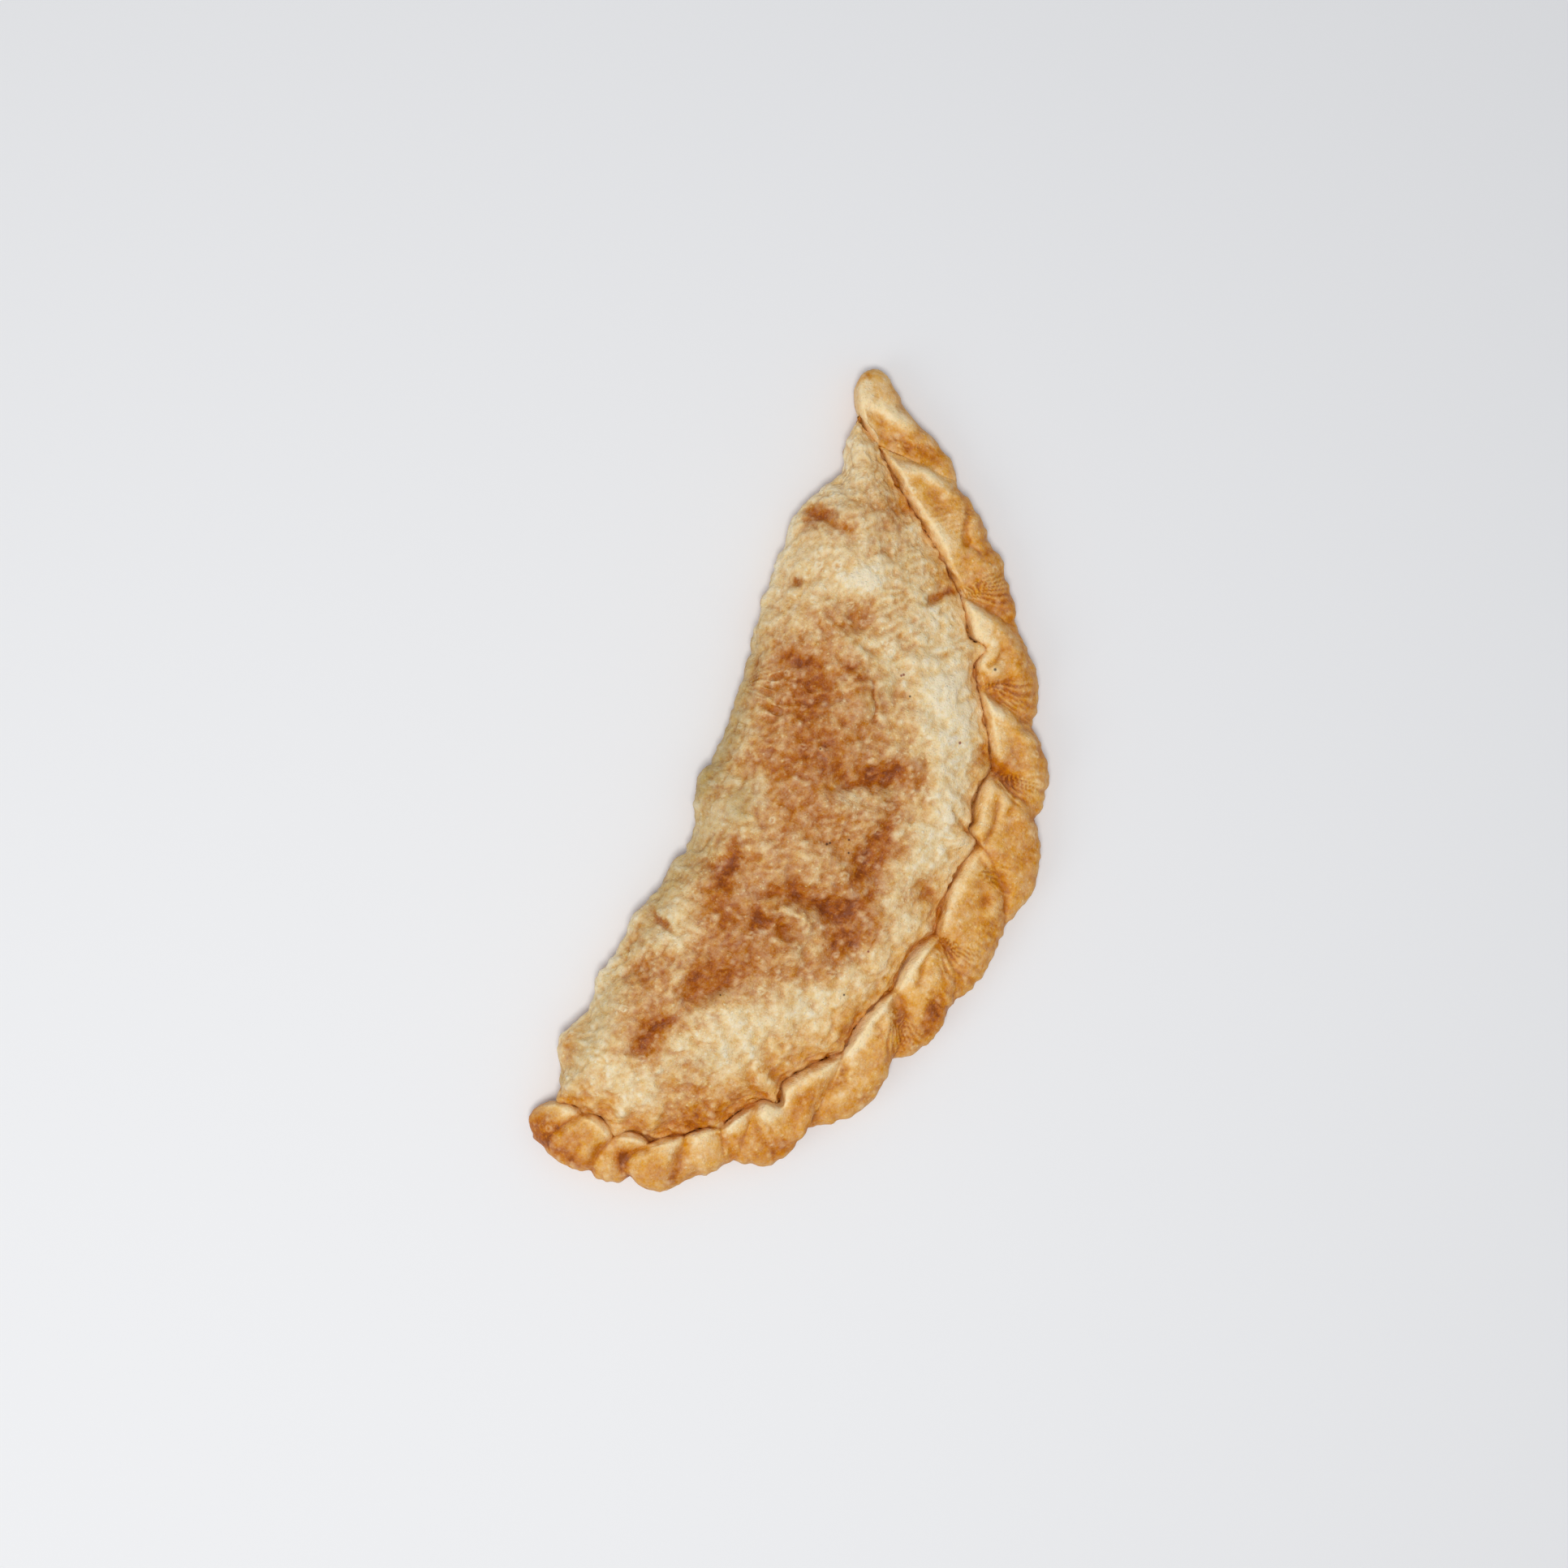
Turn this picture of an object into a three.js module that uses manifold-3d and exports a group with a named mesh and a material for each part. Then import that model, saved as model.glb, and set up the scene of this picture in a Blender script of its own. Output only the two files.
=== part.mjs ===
// A khuushuur: a half-moon pasty of fried dough, folded along one long side and crimped
// along the curved side into a rope of overlapping pleats that ends in a sharp tip and a knob.
// Lengths are in millimetres and +Z is up. The origin is the middle of the outline, on the
// surface that the pasty rests on. +X points at the sharp tip, +Y at the folded side.
import * as THREE from "three";
import { mergeVertices } from "three/addons/utils/BufferGeometryUtils.js";
import Module from "manifold-3d";

// Middle line of the rope, seen from above, from the sharp tip round to the knob.
const ropeRoute = [
  [93.2, 39.2], [84.6, 32.4], [76.5, 19.5], [68.5, 6.5], [56.5, -6.3], [41.0, -17.5],
  [24.0, -26.3], [4.0, -31.3], [-16.0, -31.0], [-36.0, -26.0], [-54.0, -18.0],
  [-68.5, -8.5], [-79.5, 3.0], [-86.5, 15.5], [-88.2, 27.0], [-85.6, 39.3],
];
// The folded side, seen from above, from the knob to the tip.
const foldRoute = [
  [-83.5, 34.0], [-74.0, 37.8], [-50.0, 37.6], [-33.0, 35.4], [-21.0, 32.8], [-8.0, 35.4],
  [10.0, 35.9], [28.0, 38.6], [50.0, 41.0], [61.5, 39.8], [68.5, 36.4], [76.0, 37.7], [83.5, 37.6],
];

// Each pleat of the rope, from the tip to the knob: its length along the seam; how much further
// along its starting groove has run when it meets the outer side; how far the seam and the
// outer side lie from the middle line at that groove; how far both swell between the grooves;
// and how thick the pleat is, as a share of the rope's height.
const pleats = [
  { length: 15.2, lag: 0.0, seam: 6.3, seamSwell: 0.4, outer: 4.8, outerSwell: 2.2, rise: 0.86 },
  { length: 39.3, lag: 16.8, seam: 4.9, seamSwell: 1.3, outer: 4.9, outerSwell: 1.3, rise: 0.95 },
  { length: 21.0, lag: 10.8, seam: 6.2, seamSwell: 0.2, outer: 4.5, outerSwell: 2.4, rise: 0.97 },
  { length: 20.0, lag: 11.0, seam: 6.9, seamSwell: 0.0, outer: 4.8, outerSwell: 2.4, rise: 1.0 },
  { length: 17.5, lag: 10.0, seam: 5.2, seamSwell: 2.8, outer: 6.6, outerSwell: 3.0, rise: 0.98 },
  { length: 24.0, lag: 15.4, seam: 5.8, seamSwell: 2.4, outer: 6.7, outerSwell: 1.8, rise: 1.0 },
  { length: 16.5, lag: 11.0, seam: 6.7, seamSwell: 1.9, outer: 5.8, outerSwell: 2.6, rise: 1.03 },
  { length: 18.5, lag: 11.7, seam: 6.8, seamSwell: 1.6, outer: 4.6, outerSwell: 4.0, rise: 1.0 },
  { length: 21.0, lag: 16.6, seam: 4.6, seamSwell: 2.4, outer: 4.2, outerSwell: 3.7, rise: 1.0 },
  { length: 12.0, lag: 5.5, seam: 6.1, seamSwell: 1.0, outer: 4.2, outerSwell: 1.2, rise: 0.93 },
  { length: 8.5, lag: 4.0, seam: 4.4, seamSwell: 0.7, outer: 4.9, outerSwell: 0.4, rise: 0.92 },
  { length: 8.0, lag: 2.2, seam: 4.9, seamSwell: 0.5, outer: 5.6, outerSwell: 2.3, rise: 0.98 },
  { length: 9.5, lag: 4.5, seam: 4.4, seamSwell: 1.8, outer: 4.2, outerSwell: 1.5, rise: 0.94 },
  { length: 10.5, lag: 2.5, seam: 5.0, seamSwell: 1.8, outer: 4.4, outerSwell: 0.7, rise: 1.05 },
  { length: 9.0, lag: 3.0, seam: 6.9, seamSwell: 0.4, outer: 4.8, outerSwell: 0.3, rise: 1.0 },
];
// Small tucks inside a pleat: how far along the seam they lie, on which side, how deep they cut
// into the outline, and how far they reach to both sides.
const tucks = [
  { along: 46.3, side: "outer", depth: 1.3, reach: 2.2 },
  { along: 67.9, side: "seam", depth: 2.8, reach: 2.0 },
  { along: 190.6, side: "seam", depth: 3.2, reach: 2.4 },
];
const tuckDip = 0.4; // how much lower the rope gets for each millimetre that a tuck cuts in
const swellPeak = 0.5; // where along a pleat its sides swell most
const firstSwellPeak = 0.8; // and where the outer side of the first pleat does

const ropeHeight = 11.2; // top of an average pleat above the table
const ropeWaist = 4.6; // height of the rope's inner and outer sides, where it is widest
const ropeFloor = 0.7; // how far the rope's underside stays above the table
// Across the rope, 0 is the seam and 1 the outer side.
const lipReach = 0.24; // how far across the seam side takes to climb to the top
const outerReach = 0.5; // how far the rounded outer side reaches inwards
const outwardFall = 0.22; // how much lower the rope is towards the outer side, as a share
const ballReach = 0.3; // how far the rounded edges reach in on the underside
const grooveShare = 0.42; // what a pleat's tucked start keeps of its height at the seam
const flareShare = 0.8; // the same at the outer side, where the groove runs out
const flareFrom = 0.15; // where across the rope the groove starts to get shallower
const flareTo = 0.9; // and where it has run out
const valleyDepth = 0.9; // of the hollow between a long pleat's lip and its outer half
const valleyPlace = 0.46; // where across the rope the hollow lies
const valleyWidth = 0.13; // how far it reaches to both sides
const longPleat = 20; // pleats as long as this have the full hollow
// Along a pleat, 0 is its start and 1 its end.
const climbEnd = 0.62; // where a pleat has climbed out from under the one before
const noseStart = 0.8; // where its end starts to round off
const tipRound = 12; // how far the rope takes to swell to full size at the tip
const knobRound = 9; // and at the knob
const leastFill = 0.06; // share of its size that the rope keeps at both ends

const bodyHeight = 18.5; // top of the filled middle above the table
const endDrop = 0.24; // how much lower the filling lies towards the two ends, as a share
const foldDrop = 0.3; // towards the folded side
const foldPower = 2.2; // how late the top starts to fall off to that side
const seamDrop = 0.4; // and towards the seam, where it slopes down further
const seamPower = 2.4; // and how late it starts to there
const bodyWaist = 6.2; // height of the folded side where it stands out furthest
const seamLevels = [6.8, 8.4]; // height at which the body's top meets the rope, near the knob
const levelsBetween = [-70, 60]; // and near the tip: it rises between these places along X
const tuckedUnder = 3.2; // how far the top dips under the rope, where they meet
const tuckedFrom = -0.6; // how far from the seam that dip starts
const tuckedTo = 0.8; // and how far past it the top lies lowest
const seamUndercut = 2.8; // height of the body's underside there
const foldReach = 13; // how far in from the folded side the edge is rounded
const seamReach = 6; // how far in from the seam it is
const soleRound = 7; // how far in from the edges the flat underside starts
const soleReach = 1; // how much further it goes on towards the seam

// Gentle rises (+) and dips (-) of the top: place, how far they reach, how high they are.
const swells = [
  { at: [65, 23], reach: 7, rise: -0.7 },
  { at: [54, 24], reach: 8, rise: 0.9 },
  { at: [39, 22], reach: 7, rise: -0.9 },
  { at: [28, -5], reach: 9, rise: 1.1 },
  { at: [21, 20], reach: 7, rise: -1.0 },
  { at: [14, 0], reach: 6, rise: -2.0 },
  { at: [1, 13], reach: 10, rise: 1.0 },
  { at: [-5, -3], reach: 6, rise: -0.8 },
  { at: [-16, 4], reach: 8, rise: -1.8 },
  { at: [-30, -3], reach: 10, rise: 1.0 },
  { at: [-41, 17], reach: 8, rise: -1.5 },
  { at: [-59, 22], reach: 7, rise: -1.2 },
  { at: [-72, 25], reach: 7, rise: 0.7 },
];
// Bubbles of dough on the folded side: centre and half sizes.
const bubbles = [
  { at: [-67.5, 36.6, 7.5], half: [5.6, 3.2, 4.0] },
  { at: [-53.0, 36.0, 7.0], half: [3.6, 2.4, 2.8] },
  { at: [-38.5, 34.8, 7.5], half: [3.4, 2.6, 3.0] },
  { at: [-23.5, 31.4, 7.5], half: [3.2, 2.4, 2.6] },
  { at: [-7.5, 33.8, 7.5], half: [5.4, 2.6, 3.2] },
];

const ribInset = 8; // how far from the rope's ends the first and last cross-sections meet it
const foldInset = 0.01; // how far from the fold's ends they meet it, as a share of its length
const underRope = 1.5; // how far inside the seam the body's top still follows its shape
const leastSeamShare = 0.3; // share of the way to the rope's middle that lies outside the seam
const ribCount = 84; // cross-sections of the body
const topSteps = 18; // steps across the body's top
const soleSteps = 9; // and across its underside
const ropeSides = 16; // corners of a rope section
const pleatStep = 2.6; // about how far apart the sections of a pleat lie
const leastSteps = 5; // sections of the shortest pleats
const tipSteps = 12; // sections of the first pleat, up to the tip
const noseCrowding = 1.1; // how much closer together the sections lie at a pleat's nose
const bubbleDetail = 2; // how often a bubble's faces are halved
const ropeMarks = 600; // points at which the rope's middle line is measured
const foldMarks = 400; // and the folded side
const hairsbreadth = 0.01;

const dough = new THREE.MeshStandardMaterial({ color: 0xd6a25c, roughness: 0.6, metalness: 0 });

const mix = THREE.MathUtils.lerp;
const clamp01 = (x) => THREE.MathUtils.clamp(x, 0, 1);
const smooth = THREE.MathUtils.smoothstep;
// Climbs from 0 to 1 over the reach like the side of a rounded edge.
const roundedRise = (d, reach, power = 2) =>
  (1 - (1 - clamp01(d / reach)) ** power) ** (1 / power);

// A smooth curve through points in the table's plane.
function curveThrough(points) {
  const corners = points.map(([x, y]) => new THREE.Vector3(x, y, 0));
  return new THREE.CatmullRomCurve3(corners, false, "catmullrom", 0.5);
}

// Points along a curve, each with the sideways direction that points to the curve's left.
function traced(curve, count) {
  const total = curve.getLength();
  return Array.from({ length: count + 1 }, (_, i) => {
    const at = curve.getPointAt(i / count);
    const ahead = curve.getTangentAt(i / count);
    return { at, left: new THREE.Vector3(-ahead.y, ahead.x, 0), s: (total * i) / count };
  });
}

const ropeCurve = curveThrough(ropeRoute);
const ropeLength = ropeCurve.getLength();
const ropeTrace = traced(ropeCurve, ropeMarks);
const foldCurve = curveThrough(foldRoute);
const foldTrace = traced(foldCurve, foldMarks);

// Where each pleat starts along the seam. The last entry is the end of the rope.
const pleatStarts = [0];
for (const pleat of pleats) pleatStarts.push(pleatStarts.at(-1) + pleat.length);
const seamScale = ropeLength / pleatStarts.at(-1);

// A value of the pleat's starting groove, turning into that of the next groove as u goes 0 to 1.
function between(name, k, u, end = pleats[k][name]) {
  const next = k + 1 < pleats.length ? pleats[k + 1][name] : end;
  return mix(pleats[k][name], next, u);
}

// A swelling between two grooves, 1 at its peak.
const swell = (u, peak = swellPeak) =>
  Math.sin(Math.PI * clamp01(u) ** (Math.log(0.5) / Math.log(peak)));

// How deep the tucks of one side are at a distance along the seam.
function tuckDepth(side, along) {
  let depth = 0;
  for (const tuck of tucks) {
    if (tuck.side === side) depth += tuck.depth * Math.exp(-(((along - tuck.along) / tuck.reach) ** 2));
  }
  return depth;
}

function seamOffset(k, u, along) {
  return between("seam", k, u) + pleats[k].seamSwell * swell(u) - tuckDepth("seam", along);
}

function outerOffset(k, u, along) {
  const peak = k === 0 ? firstSwellPeak : swellPeak;
  return between("outer", k, u) + pleats[k].outerSwell * swell(u, peak) - tuckDepth("outer", along);
}

// How full the rope is at a distance along it: 1, falling off in a half round at both ends.
function endFill(s) {
  return Math.max(leastFill, roundedRise(s, tipRound) * roundedRise(ropeLength - s, knobRound));
}

// The nearest point of a traced curve.
function nearest(trace, x, y) {
  let best = null;
  let least = Infinity;
  for (const mark of trace) {
    const d = (mark.at.x - x) ** 2 + (mark.at.y - y) ** 2;
    if (d < least) {
      least = d;
      best = mark;
    }
  }
  return { mark: best, distance: Math.sqrt(least) };
}

// The seam's distance from the rope's middle line, at a distance s along that line.
function seamOffsetAt(s) {
  const along = s / seamScale;
  let k = 0;
  while (k < pleats.length - 1 && pleatStarts[k + 1] <= along) k += 1;
  const u = clamp01((along - pleatStarts[k]) / pleats[k].length);
  return seamOffset(k, u, along) * endFill(s);
}

// Height of a pleat, as a share, u along it and q across it from the seam to the outer side.
// It starts tucked under the one before, climbs, and drops in a rounded nose at its end.
function pleatLift(k, u, q) {
  const tucked = mix(grooveShare, flareShare, smooth(q, flareFrom, flareTo));
  const own = mix(tucked, 1, smooth(u, 0, climbEnd)) * pleats[k].rise;
  const nextRise = (pleats[k + 1] ?? pleats[k]).rise;
  const nose = Math.sqrt(1 - clamp01((u - noseStart) / (1 - noseStart)) ** 2);
  return mix(tucked * nextRise, own, nose);
}

// The rope's height above its waist across q: steep at the seam, highest in a lip beside it,
// then falling gently to the outer side, with a hollow behind the lip of a long pleat.
function ropeProfile(k, u, q, along) {
  const across = roundedRise(q, lipReach) * roundedRise(1 - q, outerReach) * (1 - outwardFall * q);
  const share = clamp01(pleats[k].length / longPleat) * Math.sin(Math.PI * clamp01(u));
  const hollow = valleyDepth * share * Math.exp(-(((q - valleyPlace) / valleyWidth) ** 2));
  const tucked = tuckDip * mix(tuckDepth("seam", along), tuckDepth("outer", along), q);
  return (ropeHeight - ropeWaist - tucked) * across * pleatLift(k, u, q) - hollow;
}

// A point of the rope's skin. The angle runs from the seam over the top to the outer side
// and back underneath.
function ropePoint(k, u, angle) {
  const q = 0.5 - 0.5 * Math.cos(angle);
  const lagEnd = k + 1 < pleats.length ? pleats[k + 1].lag : 0;
  const along = pleatStarts[k] + u * pleats[k].length + q * mix(pleats[k].lag, lagEnd, u);
  const s = THREE.MathUtils.clamp(along * seamScale, 0, ropeLength);
  const place = ropeTrace[Math.round((s / ropeLength) * (ropeTrace.length - 1))];
  const fill = endFill(s);
  const offset = mix(seamOffset(k, u, along), -outerOffset(k, u, along), q) * fill;
  const upper = ropeWaist + ropeProfile(k, u, q, along) * fill;
  const ball = roundedRise(Math.min(q, 1 - q), ballReach);
  const lower = ropeWaist - (ropeWaist - ropeFloor) * ball * fill;
  const point = place.at.clone().addScaledVector(place.left, -offset);
  point.z = angle <= Math.PI ? upper : lower;
  return point;
}

// Closed skin through a row of rings with equally many points: walls between neighbours, and a
// fan over each end ring.
function skinOf(rings) {
  const sides = rings[0].length;
  const points = rings.flat();
  const faces = [];
  for (let r = 0; r + 1 < rings.length; r += 1) {
    for (let i = 0; i < sides; i += 1) {
      const a = r * sides + i;
      const b = r * sides + ((i + 1) % sides);
      faces.push([a, b, a + sides], [b, b + sides, a + sides]);
    }
  }
  for (const [ring, turned] of [[0, false], [rings.length - 1, true]]) {
    const middle = rings[ring].reduce((sum, p) => sum.add(p), new THREE.Vector3());
    points.push(middle.divideScalar(sides));
    for (let i = 0; i < sides; i += 1) {
      const a = ring * sides + i;
      const b = ring * sides + ((i + 1) % sides);
      faces.push(turned ? [a, b, points.length - 1] : [b, a, points.length - 1]);
    }
  }
  return { points, faces };
}

// The rope: rings all along it, several to each pleat and close together at the nose. The
// first pleat's are close together at the tip too.
function ropeSkin() {
  const rings = [];
  pleats.forEach((pleat, k) => {
    const steps = k === 0 ? tipSteps : Math.max(leastSteps, Math.round(pleat.length / pleatStep));
    for (let i = 0; i < steps; i += 1) {
      const turn = (Math.PI * i) / steps;
      const u = k === 0 ? (1 - Math.cos(turn)) / 2 : Math.sin(turn / 2) ** noseCrowding;
      rings.push(ropeRing(k, u));
    }
  });
  rings.push(ropeRing(pleats.length - 1, 1));
  return skinOf(rings);
}

function ropeRing(k, u) {
  return Array.from({ length: ropeSides }, (_, i) =>
    ropePoint(k, u, 2 * Math.PI * (1 - i / ropeSides)));
}

// Heights of the body's top and underside above a place on the table.
function bodyHeights(x, y) {
  const toFold = nearest(foldTrace, x, y).distance;
  const rope = nearest(ropeTrace, x, y);
  const toSeam = rope.distance - seamOffsetAt(rope.mark.s);
  const climb = roundedRise(toFold, foldReach) * roundedRise(toSeam, seamReach);
  const across = toFold / (toFold + Math.max(0, toSeam) + hairsbreadth);
  const crown = bodyHeight * (1 - endDrop * (x / ropeRoute[0][0]) ** 2) *
    (1 - foldDrop * Math.max(0, 1 - 2 * across) ** foldPower) * (1 - seamDrop * across ** seamPower);
  let relief = 0;
  for (const { at, reach, rise } of swells) {
    relief += rise * Math.exp(-((x - at[0]) ** 2 + (y - at[1]) ** 2) / reach ** 2);
  }
  const seamLevel = mix(...seamLevels, smooth(x, ...levelsBetween));
  const edge = mix(seamLevel, bodyWaist, clamp01(toSeam / seamReach)) -
    tuckedUnder * smooth(-toSeam, tuckedFrom, tuckedTo);
  const sole = bodyWaist * (1 - roundedRise(toFold, soleRound)) +
    seamUndercut * (1 - roundedRise(toSeam + soleReach, soleRound));
  return { top: edge + (crown + relief - edge) * climb, sole };
}

// The body: ribs from the folded side to the rope's middle line, under which it ends.
function bodySkin() {
  const rings = [];
  for (let r = 0; r <= ribCount; r += 1) {
    const t = r / ribCount;
    const s = mix(ropeLength - ribInset, ribInset, t);
    const fold = foldCurve.getPointAt(mix(foldInset, 1 - foldInset, t));
    rings.push(bodyRing(fold, ropeCurve.getPointAt(s / ropeLength), seamOffsetAt(s)));
  }
  return skinOf(rings);
}

// A rib. Its steps are close at the folded side and at the seam, and one goes under the rope.
function bodyRing(fold, rope, offset) {
  const seamShare = Math.max(leastSeamShare, 1 - (offset - underRope) / fold.distanceTo(rope));
  const place = (i, steps) => fold.clone().lerp(rope,
    i > steps ? 1 : (seamShare * (1 - Math.cos((Math.PI * i) / steps))) / 2);
  const ring = [];
  for (let i = 0; i <= topSteps + 1; i += 1) {
    const point = place(i, topSteps);
    point.z = i === 0 ? bodyWaist : bodyHeights(point.x, point.y).top;
    ring.push(point);
  }
  for (let i = soleSteps + 1; i > 0; i -= 1) {
    const point = place(i, soleSteps);
    point.z = bodyHeights(point.x, point.y).sole;
    ring.push(point);
  }
  return ring;
}

const wasm = await Module();
wasm.setup();

function solidOf(vertProperties, triVerts) {
  return new wasm.Manifold(new wasm.Mesh({ numProp: 3, vertProperties, triVerts }));
}

function solidOfSkin({ points, faces }) {
  const places = points.flatMap((p) => [p.x, p.y, p.z]);
  return solidOf(new Float32Array(places), new Uint32Array(faces.flat()));
}

// A bubble: an ellipsoid half sunk in the folded side.
function bubbleSolid({ at, half }) {
  const ball = new THREE.IcosahedronGeometry(1, bubbleDetail).scale(...half).translate(...at);
  ball.deleteAttribute("normal");
  ball.deleteAttribute("uv");
  const merged = mergeVertices(ball);
  return solidOf(merged.attributes.position.array, new Uint32Array(merged.index.array));
}

function geometryOf(solid) {
  const made = solid.getMesh();
  return new THREE.BufferGeometry()
    .setAttribute("position", new THREE.BufferAttribute(made.vertProperties, 3))
    .setIndex(new THREE.BufferAttribute(made.triVerts, 1));
}

let pasty = solidOfSkin(bodySkin()).add(solidOfSkin(ropeSkin()));
for (const bubble of bubbles) pasty = pasty.add(bubbleSolid(bubble));

const khuushuur = new THREE.Mesh(geometryOf(pasty), dough);
khuushuur.name = "khuushuur";

const part = new THREE.Group();
part.add(khuushuur);

export default part;
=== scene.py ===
import math
import bpy
import numpy as np
from mathutils import Matrix, Vector, noise


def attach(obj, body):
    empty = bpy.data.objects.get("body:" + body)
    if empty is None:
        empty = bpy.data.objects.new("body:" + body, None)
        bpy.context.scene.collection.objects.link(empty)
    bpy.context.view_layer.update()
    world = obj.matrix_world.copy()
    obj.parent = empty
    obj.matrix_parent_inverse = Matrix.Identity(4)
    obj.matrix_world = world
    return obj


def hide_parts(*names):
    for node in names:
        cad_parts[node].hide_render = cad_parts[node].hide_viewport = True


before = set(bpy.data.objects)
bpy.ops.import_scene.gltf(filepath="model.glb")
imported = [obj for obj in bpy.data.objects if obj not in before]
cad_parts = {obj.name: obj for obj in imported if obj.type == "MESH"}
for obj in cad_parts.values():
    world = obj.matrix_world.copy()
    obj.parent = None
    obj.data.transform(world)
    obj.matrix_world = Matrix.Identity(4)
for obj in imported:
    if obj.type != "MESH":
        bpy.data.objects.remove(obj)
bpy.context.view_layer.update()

# A khuushuur: a fried half-moon pasty with a rope of crimped pleats round its curved side.
# Sizes are in millimetres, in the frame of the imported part: +X to the sharp tip, +Y to the
# folded side, +Z up from the table. mm turns them into metres where a mesh is made.
mm = 0.001
random = np.random.default_rng(7)


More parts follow.
